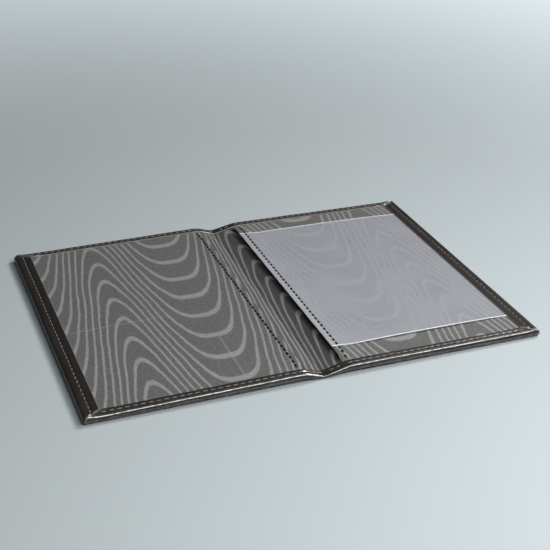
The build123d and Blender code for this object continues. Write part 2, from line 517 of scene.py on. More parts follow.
def weave_group() -> bpy.types.NodeTree:
    """Fine slanting ribs of the lining cloth, with uneven threads.

    Returns:
        A group that gives the height of the ribs and a light and dark fleck.
    """
    group, g, taken, given = new_group(
        "Ribbed weave", {"Vector": None, "Rib": 0.5 * MM, "Slant": 0.7}, ("Height", "Fleck")
    )
    x, y, _ = g.split(taken["Vector"])
    slanted = g.scaled(x, taken["Slant"], y)
    sway = g.times(g.noise(taken["Vector"], 3 * MM), 0.5 * MM)
    turn = g.over(g.plus(slanted, sway), taken["Rib"])
    rib = g.math("SINE", g.times(turn, FULL_TURN))
    cross = g.math("SINE", g.times(g.over(x, taken["Rib"]), FULL_TURN))
    thread = g.scaled(cross, 0.35, rib)
    g.put(given.inputs["Height"], g.scaled(thread, 0.35, 0.5))
    streak = g.join(g.times(x, 0.35), g.times(y, 1.0), 0.0)
    fleck = g.scaled(g.noise(streak, 0.9 * MM, 3.0), 0.8, g.times(thread, 0.12))
    g.put(given.inputs["Fleck"], fleck)
    return group


def watered_group() -> bpy.types.NodeTree:
    """The watered figure of the lining: one wavy line repeated up the cloth.

    Returns:
        A group that gives 1 on the lines and 0 between them.
    """
    inputs = {
        "Vector": None,
        "Repeat": 84.6 * MM,
        "Rise": 141.4 * MM,
        "Pitch": FIGURE_PITCH,
        "Line": 0.098,
        "Steep line": 0.085,
        "Edge": 0.035,
    }
    group, g, taken, given = new_group("Watered figure", inputs, ("Mask", "Blur"))
    x, y, _ = g.split(taken["Vector"])
    wander_x = g.scaled(g.noise(taken["Vector"], 34 * MM), 3 * MM, -1.5 * MM)
    shiver = g.scaled(g.noise(taken["Vector"], 4.5 * MM), 0.7 * MM, -0.35 * MM)
    across = g.plus(g.plus(x, wander_x), shiver)
    angle = g.times(g.over(across, taken["Repeat"]), FULL_TURN)
    share = g.scaled(g.math("COSINE", angle), -0.5, 0.5)
    steep = g.times(g.math("ABSOLUTE", g.math("SINE", angle)), g.math("POWER", share, 0.7))
    wave = g.times(g.math("POWER", share, 1.7), taken["Rise"])
    turns = g.over(g.minus(g.plus(y, shiver), wave), taken["Pitch"])
    ragged = g.scaled(g.noise(taken["Vector"], 0.9 * MM), 0.05, -0.025)
    away = g.math("ABSOLUTE", g.minus(g.math("FRACT", turns), 0.5))
    away = g.plus(away, ragged)
    broad = g.scaled(steep, taken["Steep line"], taken["Line"])
    width = g.times(broad, g.spread(g.noise(taken["Vector"], 22 * MM), 0.75, 1.25))
    inner = g.minus(width, taken["Edge"])
    outer = g.plus(width, taken["Edge"])
    g.put(given.inputs["Mask"], g.minus(1.0, g.ramp(away, inner, outer)))
    wide = g.times(width, 2.2)
    g.put(given.inputs["Blur"], g.minus(1.0, g.ramp(away, 0.0, wide)))
    return group


def dust_group() -> bpy.types.NodeTree:
    """Sparse pale specks and lint.

    Returns:
        A group that gives 1 on the specks.
    """
    group, g, taken, given = new_group(
        "Specks", {"Vector": None, "Spacing": 5 * MM, "Amount": 0.5}, ("Mask",)
    )
    scale = g.over(1.0, taken["Spacing"])
    cells = g.add("ShaderNodeTexVoronoi", {"Vector": taken["Vector"], "Scale": scale})
    chance = g.split(cells.outputs["Color"])[0]
    kept = g.math("LESS_THAN", chance, g.times(taken["Amount"], 0.3))
    size = g.scaled(chance, 0.1, 0.02)
    spot = g.minus(1.0, g.ramp(cells.outputs["Distance"], 0.0, size))
    g.put(given.inputs["Mask"], g.times(spot, kept))
    return group


@dataclass(frozen=True)
class Effects:
    """The shader node groups that several finishes share."""

    grain: bpy.types.NodeTree = field(default_factory=grain_group)
    weave: bpy.types.NodeTree = field(default_factory=weave_group)
    watered: bpy.types.NodeTree = field(default_factory=watered_group)
    dust: bpy.types.NodeTree = field(default_factory=dust_group)


def new_material(name: str, settings: dict) -> tuple:
    """Starts a material with one Principled shader.

    Args:
        name: Name of the material.
        settings: Values for the shader's own sockets.

    Returns:
        The material, its graph, its shader and its object coordinates.
    """
    material = bpy.data.materials.new(name)
    material.use_nodes = True
    graph = Graph(material.node_tree)
    shader = material.node_tree.nodes["Principled BSDF"]
    for key, value in settings.items():
        graph.put(shader.inputs[key], value)
    where = graph.add("ShaderNodeTexCoord").outputs["Object"]
    return material, graph, shader, where


def attribute(graph: Graph, name: str) -> bpy.types.NodeSocket:
    """The value that a piece keeps at each point under this name."""
    return graph.add("ShaderNodeAttribute", attribute_name=name).outputs["Fac"]


def relief(
    graph: Graph, height: object, depth: float, strength: float = 1.0
) -> bpy.types.NodeSocket:
    """A normal that shows a height of 0 to 1 as this many metres."""
    inputs = {"Strength": strength, "Distance": depth, "Height": height}
    return graph.add("ShaderNodeBump", inputs).outputs[0]


@dataclass(frozen=True)
class Leathercloth:
    """Black coated cloth with a fine grain, rubbed at its edges and pale where it is cut; along the
    mitres' crests the pale colour is partly a painted highlight.
    """

    colour: tuple = (0.0150, 0.0100, 0.0078, 1)
    crease_colour: tuple = (0.0060, 0.0044, 0.0036, 1)
    rubbed_colour: tuple = (0.040, 0.030, 0.026, 1)
    cut_colour: tuple = (0.30, 0.265, 0.24, 1)
    roughness: float = 0.34
    pebble: float = 0.62 * MM
    grain_depth: float = 0.035 * MM

    def build(self, effects: Effects) -> bpy.types.Material:
        """Makes the material."""
        settings = {"Specular IOR Level": 0.5, "Coat Roughness": 0.15, "Coat IOR": 2.0}
        material, g, shader, where = new_material("Leathercloth", settings)
        shine = g.spread(g.ramp(g.noise(where, 1.9 * MM, 3.0), 0.36, 0.62), 0.35, 1.0)
        glazed = g.scaled(attribute(g, "dull"), -0.85, 1.0)
        g.put(shader.inputs["Coat Weight"], g.times(glazed, shine))
        grain = g.effect(effects.grain, {"Vector": where, "Pebble": self.pebble})
        dust = g.effect(effects.dust, {"Vector": where, "Spacing": 6 * MM, "Amount": 0.35})
        skin = g.mix(grain.outputs["Crease"], self.colour, self.crease_colour)
        patchy = g.ramp(grain.outputs["Blotch"], 0.30, 0.75)
        rub = g.times(attribute(g, "rub"), patchy)
        skin = g.mix(g.times(rub, 0.8), skin, self.rubbed_colour)
        skin = g.mix(g.times(dust.outputs["Mask"], 0.25), skin, (0.3, 0.3, 0.3, 1))
        g.put(shader.inputs["Base Color"], g.mix(attribute(g, "cut"), skin, self.cut_colour))
        rough = g.scaled(grain.outputs["Crease"], 0.12, self.roughness)
        rough = g.scaled(grain.outputs["Blotch"], 0.10, rough)
        g.put(shader.inputs["Roughness"], g.scaled(attribute(g, "cut"), 0.4, rough))
        g.put(shader.inputs["Normal"], relief(g, grain.outputs["Height"], self.grain_depth, 0.8))
        return material


@dataclass(frozen=True)
class WateredCloth:
    """Grey ribbed lining with paler watered lines."""

    ground: tuple = (0.160, 0.160, 0.156, 1)
    shade: tuple = (0.072, 0.072, 0.070, 1)
    line: tuple = (0.330, 0.333, 0.330, 1)
    # Near-black colour of the painted shade that a piece asks for by its attribute.
    worn: tuple = (0.030, 0.029, 0.028, 1)
    rib: float = 0.55 * MM
    rib_depth: float = 0.05 * MM

    def build(self, effects: Effects) -> bpy.types.Material:
        """Makes the material."""
        settings = {"Specular IOR Level": 0.35, "Sheen Weight": 0.12, "Sheen Roughness": 0.4}
        material, g, shader, where = new_material("Watered lining", settings)
        flat = g.add("ShaderNodeUVMap", uv_map="Cloth").outputs[0]
        weave = g.effect(effects.weave, {"Vector": flat, "Rib": self.rib})
        figure = g.effect(effects.watered, {"Vector": flat})
        dust = g.effect(effects.dust, {"Vector": where, "Spacing": 9 * MM, "Amount": 0.5})
        fleck = g.ramp(weave.outputs["Fleck"], 0.15, 0.75)
        mottle = g.ramp(g.noise(flat, 1.6 * MM, 3.0), 0.30, 0.70)
        ground = g.mix(g.scaled(mottle, 0.35, g.times(fleck, 0.65)), self.shade, self.ground)
        # Painted shade: the piece's attribute darkens the ground, and the watered lines less.
        worn = attribute(g, "worn")
        ground = g.mix(worn, ground, self.worn)
        frost = g.times(figure.outputs["Mask"], g.spread(fleck, 0.45, 1.0))
        haze = g.times(figure.outputs["Blur"], 0.10)
        cloth = g.mix(g.math("MAXIMUM", frost, haze), ground, self.line)
        cloth = g.mix(g.times(dust.outputs["Mask"], 0.35), cloth, (0.5, 0.5, 0.5, 1))
        cloth = g.mix(g.times(worn, 0.30), cloth, self.worn)
        cloth = g.mix(g.times(attribute(g, "pressed"), 0.35), cloth, self.line)
        g.put(shader.inputs["Base Color"], cloth)
        g.put(shader.inputs["Roughness"], g.spread(figure.outputs["Mask"], 0.62, 0.5))
        height = g.scaled(figure.outputs["Mask"], 0.25, weave.outputs["Height"])
        g.put(shader.inputs["Normal"], relief(g, height, self.rib_depth, 0.7))
        return material


@dataclass(frozen=True)
class FrostedVinyl:
    """Clear vinyl with a frosted face: the cloth below shows faintly, and the cut edges carry a
    painted white highlight.
    """

    colour: tuple = (0.54, 0.56, 0.61, 1)
    edge_colour: tuple = (0.92, 0.93, 0.95, 1)
    clearness: float = 0.35

    def build(self, effects: Effects) -> bpy.types.Material:
        """Makes the material."""
        settings = {"Specular IOR Level": 0.5, "IOR": 1.5}
        material, g, shader, where = new_material("Frosted vinyl", settings)
        cloud = g.noise(where, 26 * MM, 4.0)
        scuff = g.ramp(g.noise(where, 1.4 * MM, 3.0), 0.60, 0.80)
        dust = g.effect(effects.dust, {"Vector": where, "Spacing": 8 * MM, "Amount": 0.6})
        # Painted highlight: white, opaque cut edges where the edge attribute is set.
        edge = attribute(g, "edge")
        haze = g.times(attribute(g, "haze"), 0.30)
        pale = g.math("MAXIMUM", edge, g.plus(haze, g.times(scuff, 0.06)))
        pale = g.math("MAXIMUM", pale, g.times(dust.outputs["Mask"], 0.5))
        g.put(shader.inputs["Base Color"], g.mix(pale, self.colour, self.edge_colour))
        body = g.scaled(cloud, 0.16, self.clearness - 0.08)
        g.put(shader.inputs["Alpha"], g.math("MAXIMUM", body, pale))
        g.put(shader.inputs["Roughness"], g.spread(cloud, 0.24, 0.40))
        wrinkle = g.scaled(g.noise(where, 3 * MM), 0.25, g.noise(where, 18 * MM))
        g.put(shader.inputs["Normal"], relief(g, wrinkle, 0.35 * MM, 0.5))
        return material


@dataclass(frozen=True)
class Thread:
    """Twisted sewing thread."""

    name: str
    colour: tuple
    length: float
    ply: float = 0.45 * MM

    def build(self) -> bpy.types.Material:
        """Makes the material."""
        settings = {"Specular IOR Level": 0.3}
        material, g, shader, where = new_material(self.name, settings)
        turns = g.over(attribute(g, "along"), self.ply)
        twist = g.math("SINE", g.times(turns, FULL_TURN))
        strand = g.scaled(twist, 0.5, 0.5)
        fuzz = g.noise(where, 0.2 * MM)
        # A darker copy of the thread's colour, painted into the twist's grooves as shade.
        dark = tuple(0.45 * part for part in self.colour[:3]) + (1,)
        light = g.mix(fuzz, dark, self.colour)
        # Painted shade: darker towards both ends, where each stitch dives into the cloth.
        from_middle = g.math("ABSOLUTE", g.minus(attribute(g, "along"), self.length / 2))
        ends = g.ramp(from_middle, 0.25 * self.length, 0.5 * self.length)
        end_shade = tuple(0.2 * part for part in self.colour[:3]) + (1,)
        g.put(shader.inputs["Base Color"], g.mix(ends, g.mix(strand, dark, light), end_shade))
        g.put(shader.inputs["Roughness"], g.spread(fuzz, 0.5, 0.75))
        g.put(shader.inputs["Normal"], relief(g, strand, 0.08 * MM))
        return material


@dataclass(frozen=True)
class Greyboard:
    """Pressed grey pulp board with flecks."""

    colour: tuple = (0.33, 0.31, 0.27, 1)
    fleck_colour: tuple = (0.16, 0.15, 0.13, 1)

    def build(self) -> bpy.types.Material:
        """Makes the material."""
        material, g, shader, where = new_material("Greyboard", {"Specular IOR Level": 0.2})
        fibre = g.noise(where, 0.9 * MM, 4.0)
        fleck = g.ramp(fibre, 0.55, 0.72)
        g.put(shader.inputs["Base Color"], g.mix(fleck, self.colour, self.fleck_colour))
        g.put(shader.inputs["Roughness"], g.spread(fibre, 0.75, 0.95))
        g.put(shader.inputs["Normal"], relief(g, fibre, 0.06 * MM))
        return material


@dataclass(frozen=True)
class Foam:
    """Open-pored padding foam."""

    colour: tuple = (0.62, 0.60, 0.53, 1)
    pore_shade_colour: tuple = (0.30, 0.29, 0.25, 1)

    def build(self) -> bpy.types.Material:
        """Makes the material."""
        material, g, shader, where = new_material("Padding foam", {"Specular IOR Level": 0.2})
        pores = g.add("ShaderNodeTexVoronoi", {"Vector": where, "Scale": 1 / (0.45 * MM)})
        # Painted shade in the open pores.
        open_pore = g.minus(1.0, g.ramp(pores.outputs["Distance"], 0.1, 0.5))
        g.put(shader.inputs["Base Color"], g.mix(open_pore, self.colour, self.pore_shade_colour))
        g.put(shader.inputs["Roughness"], g.spread(open_pore, 0.8, 0.95))
        g.put(shader.inputs["Normal"], relief(g, pores.outputs["Distance"], 0.1 * MM))
        return material


@dataclass
class Finishes:
    """Every material of the holder, made once."""

    effects: Effects = field(default_factory=Effects)

    def __post_init__(self) -> None:
        """Makes the materials."""
        self.leathercloth = Leathercloth().build(self.effects)
        self.lining = WateredCloth().build(self.effects)
        self.vinyl = FrostedVinyl().build(self.effects)
        self.pocket_thread = Thread("Pocket thread", (0.007, 0.007, 0.008, 1), 2.2 * MM).build()
        self.hem_thread = Thread("Hem thread", (0.520, 0.455, 0.400, 1), 2.8 * MM).build()
        self.greyboard = Greyboard().build()
        self.foam = Foam().build()


# The skin

ALONG_X, ALONG_Y, CORNER = range(3)  # which edge a point of the skin's loops lies on


@dataclass(frozen=True)
class RimRing:
    """One loop of the skin round the whole holder.

    A point's height is a share of the way from the skin's underside to the hems' top, plus a rise.
    The roll's part of the inset shrinks with the thickness, so that the spine's ends are thin.
    """

    side_inset: float
    end_inset: float
    share: float
    rise: float = 0.0
    roll_part: float = 0.0
    press: float = 0.0
    groove: float = 0.0
    rub: float = 0.0
    cut: float = 0.0
    dull: float = 0.0


@dataclass
class CoverSkin:
    """The leathercloth skin: rolled edges, turned and sewn hems, mitres and a soft spine."""

    sizes: HolderSizes
    section: SpineSection
    corner_round: float = 1.5 * MM
    roll_inset: float = 1.75 * MM
    roll_power: float = 1.15
    side_seam: float = 4.65 * MM
    end_seam: float = 3.3 * MM
    even_inset: float = 9.8 * MM
    floor_inset: float = 9.3 * MM
    seam_depth: float = 0.26 * MM
    seam_reach: float = 0.75 * MM
    inner_swell: float = 0.10 * MM
    outer_swell: float = 0.07 * MM
    mitre_depth: float = 0.35 * MM
    mitre_reach: float = 0.35 * MM
    mitre_lip: float = 0.7 * MM
    lip_width: float = 0.4 * MM
    lip_fade: float = 1.3 * MM
    # Share of the pale cut colour on the mitres' crests, partly a painted highlight.
    mitre_cut_and_highlight: float = 0.85
    crumple_rise: float = 0.16 * MM
    crumple_reach: float = 5.5 * MM
    sway: float = 0.035 * MM
    arc_points: int = 7
    roll_steps: int = 12
    corner_steps: tuple = (0.18, 0.36, 0.54, 0.70, 0.83, 0.92, 0.975)
    hem_seam_at: float = 0.6
    hem_steps: tuple = (
        *(0.06, 0.12, 0.2, 0.3, 0.4, 0.47, 0.52, 0.56, 0.6),
        *(0.64, 0.68, 0.74, 0.82, 0.9, 1.0),
    )
    under_seam_at: float = 0.45
    under_steps: tuple = (0.12, 0.24, 0.33, 0.39, 0.42, 0.45, 0.48, 0.51, 0.57, 0.66, 0.8, 1.0)

    def __post_init__(self) -> None:
        """Lays out the places along the edges, which every loop shares."""
        s = self.sizes
        self.x_even = self._even(s.half_width - self.even_inset)
        self.y_even = self._even(s.half_depth - self.even_inset)
        nx = len(self.x_even) + 2 * len(self.corner_steps)
        ny = len(self.y_even) + 2 * len(self.corner_steps)
        arc = self.arc_points
        kinds = [ALONG_X] * nx + [CORNER] * arc + [ALONG_Y] * ny + [CORNER] * arc
        self.kind = np.array(kinds * 2)
        self.count = len(self.kind)
        starts = np.cumsum([0, nx, arc, ny, arc, nx, arc, ny])
        self.runs = dict(
            zip(("front", "fr", "right", "br", "back", "bl", "left", "fl"), starts.tolist())
        )
        self.nx, self.ny = nx, ny

    def _even(self, reach: float) -> np.ndarray:
        """Evenly spaced places on the middle part of an edge."""
        return np.linspace(-reach, reach, 2 * ceil(reach / FINE_STEP) + 1)

    def _past_mitre(self, x: np.ndarray, y: np.ndarray) -> np.ndarray:
        """Distance past the corner's fold, towards the end hem; large away from the corners."""
        s = self.sizes
        slope = np.arctan2(s.end_hem, s.side_hem)
        from_x = np.abs(x) - s.half_width
        from_y = np.abs(y) - s.half_depth
        beyond = from_y * cos(slope) - from_x * sin(slope)
        near = (from_x > -2 * s.side_hem) & (from_y > -2 * s.side_hem)
        return np.where(near, beyond, 1.0)

    def _mitre(self, x: np.ndarray, y: np.ndarray) -> np.ndarray:
        """Rise at the corners' folds: a rounded lip on the end hem's side, a groove at its foot."""
        beyond = self._past_mitre(x, y)
        flank = smooth_step(-0.1 * MM, self.lip_width, beyond)
        lip = flank * np.exp(-np.maximum(beyond - self.lip_width, 0.0) / self.lip_fade)
        groove = bump(beyond, -0.25 * MM, self.mitre_reach)
        return self.mitre_lip * lip - self.mitre_depth * groove

    def _run(self, even: np.ndarray, end: float) -> np.ndarray:
        """Places along one straight edge, drawn together towards its two ends."""
        reach = even[-1]
        zone = reach + (end - reach) * np.array(self.corner_steps)
        return np.concatenate((-zone[::-1], even, zone))

    def _loop(self, ring: RimRing) -> np.ndarray:
        """Places of one loop, seen from above.

        Args:
            ring: The loop's insets.

        Returns:
            The places.
        """
        s = self.sizes
        across = s.half_width - ring.side_inset
        along = s.half_depth - ring.end_inset
        turn = max(self.corner_round - min(ring.side_inset, ring.end_inset), 0.0)
        x_run = self._run(self.x_even, across - turn)
        y_run = self._run(self.y_even, along - turn)
        angles = np.arange(1, self.arc_points + 1) / (self.arc_points + 1) * pi / 2
        parts = []
        for quarter, (cx, cy) in enumerate(((1, -1), (1, 1), (-1, 1), (-1, -1))):
            if quarter % 2 == 0:
                direction = 1 if quarter == 0 else -1
                parts.append(np.stack((x_run * direction, np.full(self.nx, cy * along)), -1))
            else:
                direction = 1 if quarter == 1 else -1
                parts.append(np.stack((np.full(self.ny, cx * across), y_run * direction), -1))
            around = angles + (quarter - 1) * pi / 2
            arc_x = cx * (across - turn) + turn * np.cos(around)
            arc_y = cy * (along - turn) + turn * np.sin(around)
            parts.append(np.stack((arc_x, arc_y), -1))
        return np.concatenate(parts)

    def _stitch_wave(self, places: np.ndarray) -> np.ndarray:
        """1 where the thread dives in between two stitches, 0 under a stitch's middle."""
        pitch = self.sizes.stitch_pitch
        wave = np.zeros(self.count)
        for row in SeamRow.on_hems(self.sizes):
            if row.along_x:
                inside = (self.kind == ALONG_X) & (places[:, 0] > row.start - pitch)
                inside &= places[:, 0] < row.end + pitch
                value = places[:, 0]
            else:
                inside = (self.kind == ALONG_Y) & (np.sign(places[:, 0]) == row.side.value)
                inside &= np.abs(places[:, 1]) < row.end + pitch
                value = places[:, 1]
            turn = (1 - np.cos(FULL_TURN * (value - row.start) / pitch)) / 2
            wave = np.where(inside, turn, wave)
        return wave

    def _place(self, ring: RimRing) -> np.ndarray:
        """Points of one loop.

        Args:
            ring: The loop.

        Returns:
            Its points, in metres.
        """
        s = self.sizes
        places = self._loop(ring)
        x, y = places[:, 0].copy(), places[:, 1].copy()
        low, high = self.section.under(x), self.section.hem(x)
        thin = np.clip((high - low) / s.panel_thickness, 0.3, 1.0)
        ends = self.kind == ALONG_X
        y[ends] += np.sign(y[ends]) * ring.roll_part * (1 - thin[ends])
        z = low + (high - low) * ring.share + ring.rise
        if ring.press:
            from_side, from_end = ring.side_inset - self.side_seam, ring.end_inset - self.end_seam
            from_seam = np.where(self.kind == ALONG_Y, from_side, from_end)
            pressed = bump(from_seam, 0.0, self.seam_reach)
            z -= ring.press * pressed * (0.5 + 0.5 * self._stitch_wave(places))
        if ring.groove:
            z += ring.groove * self._mitre(x, y)
        crumple = bump(x, s.valley_shift, self.crumple_reach) * ring.share
        z += self.crumple_rise * crumple * ripples(x + 0.5 * y, (1.9 * MM, 3.1 * MM), 1.3)
        sway = self.sway * ring.share * ripples(x + y, (61 * MM, 27 * MM), 0.4)
        return np.stack((x, y, np.maximum(z + sway, 0.0)), -1)

    def _rings(self) -> list[RimRing]:
        """Every loop, from the inside floor under the hem, over it, round the roll and below."""
        s = self.sizes
        skin = s.cover_thickness
        side, end = s.side_hem, s.end_hem
        inner = [
            RimRing(self.floor_inset, self.floor_inset, 0.0, skin),
            RimRing(1.7 * MM, 1.7 * MM, 0.0, skin),
            RimRing(1.35 * MM, 1.35 * MM, 0.5),
            RimRing(1.7 * MM, 1.7 * MM, 1.0, -skin),
            RimRing(side, end, 1.0, -skin, cut=1.0),
            RimRing(side, end, 1.0, -0.18 * MM, cut=1.0),
            RimRing(side - 0.05 * MM, end - 0.05 * MM, 1.0, -0.07 * MM, cut=0.7, rub=1.0),
            RimRing(
                side - 0.16 * MM, end - 0.16 * MM, 1.0, -0.02 * MM, rub=1.0, cut=0.45, groove=0.3
            ),
        ]
        return inner + self._hem_rings() + self._roll_rings() + self._under_rings()

    def _insets(self, step: float, seam_at: float, first: tuple, last: tuple) -> tuple:
        """Side and end insets of a loop on the way from one pair over the seam to another.

        Args:
            step: How far along the way the loop lies, from 0 to 1.
            seam_at: The step at which the seam lies.
            first: Side and end inset at step 0.
            last: Side and end inset at step 1.

        Returns:
            The side inset, the end inset, the share of its half of the way, and whether the
            loop lies past the seam.
        """
        seam = (self.side_seam, self.end_seam)
        past = step > seam_at
        share = (step - seam_at) / (1 - seam_at) if past else step / seam_at
        near, far = (seam, last) if past else (first, seam)
        side, end = (a + (b - a) * share for a, b in zip(near, far))
        return side, end, share, past

    def _hem_rings(self) -> list[RimRing]:
        """Loops over the hem's top face, from its cut edge to the roll."""
        s = self.sizes
        cut, rim = (s.side_hem, s.end_hem), (self.roll_inset, self.roll_inset)
        rings = []
        for step in self.hem_steps:
            side, end, share, past = self._insets(step, self.hem_seam_at, cut, rim)
            swell = (self.outer_swell if past else self.inner_swell) * sin(pi * share)
            roll = self.roll_inset * share if past else 0.0
            rub = 0.5 * share if past else 0.0
            rings.append(
                RimRing(side, end, 1.0, swell, roll, self.seam_depth, groove=1.0, rub=rub)
            )
        return rings

    def _roll_rings(self) -> list[RimRing]:
        """Loops round the rolled edge, from the hem's top to the underside."""
        rings = []
        for step in range(1, self.roll_steps + 1):
            angle = pi / 2 - pi * step / self.roll_steps
            out = abs(cos(angle)) ** self.roll_power
            up = abs(sin(angle)) ** self.roll_power * (1 if angle > 0 else -1)
            inset = self.roll_inset * (1 - out)
            share = 0.5 + 0.5 * up
            rub, dull = float(bump(angle, 0.5, 0.6)), float(smooth_step(1.1, 0.5, angle))
            rings.append(
                RimRing(inset, inset, share, 0.0, inset, groove=share, rub=rub, dull=dull)
            )
        return rings

    def _under_rings(self) -> list[RimRing]:
        """Loops of the underside, from the roll in past the seam to the flat outside."""
        rim, floor = (self.roll_inset, self.roll_inset), (self.floor_inset, self.floor_inset)
        press = -1.1 * self.seam_depth
        rings = []
        for step in self.under_steps:
            side, end, share, past = self._insets(step, self.under_seam_at, rim, floor)
            roll = 0.0 if past else self.roll_inset * (1 - share)
            rings.append(RimRing(side, end, 0.0, 0.0, roll, press=press, dull=1 - step))
        return rings

    def _fill(self, vertices: list, base: int, height: Callable, up: bool) -> list[tuple[int, ...]]:
        """Fills the inside of a loop with a net of large faces, finer over the spine.

        Args:
            vertices: Points so far, which grow by the net's inner points.
            base: Number of the loop's first point.
            height: Height of the surface at x.
            up: Whether the faces look up.

        Returns:
            The faces.
        """
        runs, arc = self.runs, self.arc_points // 2
        at = {key: base + start for key, start in runs.items()}
        corner = {key: at[key] + arc for key in ("fl", "fr", "br", "bl")}
        front = [corner["fl"], *range(at["front"], at["front"] + self.nx), corner["fr"]]
        back = [corner["br"], *range(at["back"], at["back"] + self.nx), corner["bl"]][::-1]
        right = [corner["fr"], *range(at["right"], at["right"] + self.ny), corner["br"]]
        left = [corner["bl"], *range(at["left"], at["left"] + self.ny), corner["fl"]][::-1]
        columns = [0]
        for i in range(1, len(front) - 1):
            in_spine = abs(vertices[front[i]][0]) < 1.6 * self.sizes.ridge_x
            if in_spine or i - columns[-1] >= 10:
                columns.append(i)
        columns.append(len(front) - 1)
        rows = [*range(0, len(left) - 1, 12), len(left) - 1]
        net = np.zeros((len(columns), len(rows)), int)
        for i, column in enumerate(columns):
            for j, row in enumerate(rows):
                if i in (0, len(columns) - 1):
                    net[i, j] = (left if i == 0 else right)[row]
                elif j in (0, len(rows) - 1):
                    net[i, j] = (front if j == 0 else back)[column]
                else:
                    x, y = vertices[front[column]][0], vertices[left[row]][1]
                    net[i, j] = len(vertices)
                    vertices.append((x, y, float(height(np.array([x]))[0])))
        faces = []
        last_i, last_j = len(columns) - 2, len(rows) - 2
        for i in range(len(columns) - 1):
            for j in range(len(rows) - 1):
                a, b, c, d = net[i, j], net[i + 1, j], net[i + 1, j + 1], net[i, j + 1]
                across = slice(columns[i], columns[i + 1] + 1)
                along = slice(rows[j], rows[j + 1] + 1)
                low = front[across] if j == 0 else [a, b]
                high = back[across] if j == last_j else [d, c]
                far = right[along] if i == last_i else [b, c]
                near = left[along] if i == 0 else [a, d]
                face = [*low[:-1], *far[:-1], *high[:0:-1], *near[:0:-1]]
                faces.append(tuple(face if up else face[::-1]))
        return faces

    def _whole(self, material: bpy.types.Material) -> bpy.types.Object:
        """The skin of the whole holder in one closed mesh."""
        rings = self._rings()
        vertices = [tuple(point) for ring in rings for point in self._place(ring)]
        faces: list[tuple[int, ...]] = []
        for i in range(len(rings) - 1):
            faces += band_faces(i * self.count, (i + 1) * self.count, self.count, True)
        skin = self.sizes.cover_thickness
        faces += self._fill(vertices, 0, lambda x: self.section.under(x) + skin, True)
        last = (len(rings) - 1) * self.count
        faces += self._fill(vertices, last, self.section.under, False)
        on_rings = last + self.count
        masks = {key: np.zeros(len(vertices)) for key in ("rub", "cut", "dull")}
        for key in ("rub", "cut"):
            values = [getattr(ring, key) for ring in rings]
            masks[key][:on_rings] = np.repeat(values, self.count)
        dull = np.outer([ring.dull for ring in rings], self.kind == ALONG_Y)
        masks["dull"][:on_rings] = dull.ravel()
        on_top = np.repeat([ring.groove for ring in rings], self.count)
        points = np.array(vertices[:on_rings])
        # Pale line along each mitre's crest, in the cut edge's colour: partly the fold's cut edge,
        # partly a painted highlight.
        crest = bump(self._past_mitre(points[:, 0], points[:, 1]), 0.3 * MM, 0.4 * MM)
        worn = self.mitre_cut_and_highlight * crest * on_top
        masks["cut"][:on_rings] = np.maximum(masks["cut"][:on_rings], worn)
        return make_piece("skin_whole", np.array(vertices), faces, material, masks=masks)

    def build(self, finishes: Finishes) -> list[bpy.types.Object]:
        """Makes the skin and cuts it at the middle of each half of the spine.

        Args:
            finishes: The holder's materials.

        Returns:
            The left, middle and right pieces.
        """
        whole = self._whole(finishes.leathercloth)
        net = bmesh.new()
        net.from_mesh(whole.data)
        bmesh.ops.remove_doubles(net, verts=net.verts, dist=1e-6)
        net.to_mesh(whole.data)
        net.free()
        cut = self.sizes.half_spine
        spans = {"left": (None, -cut), "middle": (-cut, cut), "right": (cut, None)}
        pieces = [self._cut(whole, f"cover_{part}", *span) for part, span in spans.items()]
        bpy.data.objects.remove(whole)
        return pieces

    def _cut(
        self, whole: bpy.types.Object, name: str, low: float | None, high: float | None
    ) -> bpy.types.Object:
        """Cuts one closed piece out of the skin, between two upright planes.

        Args:
            whole: The whole skin.
            name: Name of the piece.
            low: Lowest X that stays, or None.
            high: Highest X that stays, or None.

        Returns:
            The piece, closed where it was cut.
        """
        mesh = whole.data.copy()
        mesh.name = name
        net = bmesh.new()
        net.from_mesh(mesh)
        for plane, outward in ((low, -1), (high, 1)):
            if plane is None:
                continue
            parts = [*net.verts, *net.edges, *net.faces]
            found = bmesh.ops.bisect_plane(
                net,
                geom=parts,
                dist=1e-7,
                plane_co=(plane, 0, 0),
                plane_no=(outward, 0, 0),
                clear_outer=True,
            )
            edges = [part for part in found["geom_cut"] if isinstance(part, bmesh.types.BMEdge)]
            lids = bmesh.ops.edgeloop_fill(net, edges=edges)["faces"]
            for lid in lids:
                lid.normal_update()
                if lid.normal.x * outward < 0:
                    lid.normal_flip()
                for edge in lid.edges:
                    edge.smooth = False
        net.to_mesh(mesh)
        net.free()
        return place_object(name, mesh)


@dataclass(frozen=True)
class SeamRow:
    """One straight row of stitches on a hem; start and end are its outer stitches' middles."""

    along_x: bool
    side: Side
    start: float
    end: float
    at: float

    @classmethod
    def on_hems(cls, sizes: HolderSizes) -> list["SeamRow"]:
        """The rows on the hems of both panels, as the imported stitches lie.

        Args:
            sizes: The holder's sizes.

        Returns:
            A front and a back row and an outer row for each panel.
        """
        half = sizes.stitch_length / 2
        rows = []
        for side in Side:
            low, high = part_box(f"{side.word}_end_stitching")
            seam = high.y - 0.25 * MM
            rows += [cls(True, side, low.x + half, high.x - half, end) for end in (-seam, seam)]
            low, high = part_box(f"{side.word}_side_stitching")
            middle = (low.x + high.x) / 2
            rows.append(cls(False, side, low.y + half, high.y - half, middle))
        return rows


# Stitching


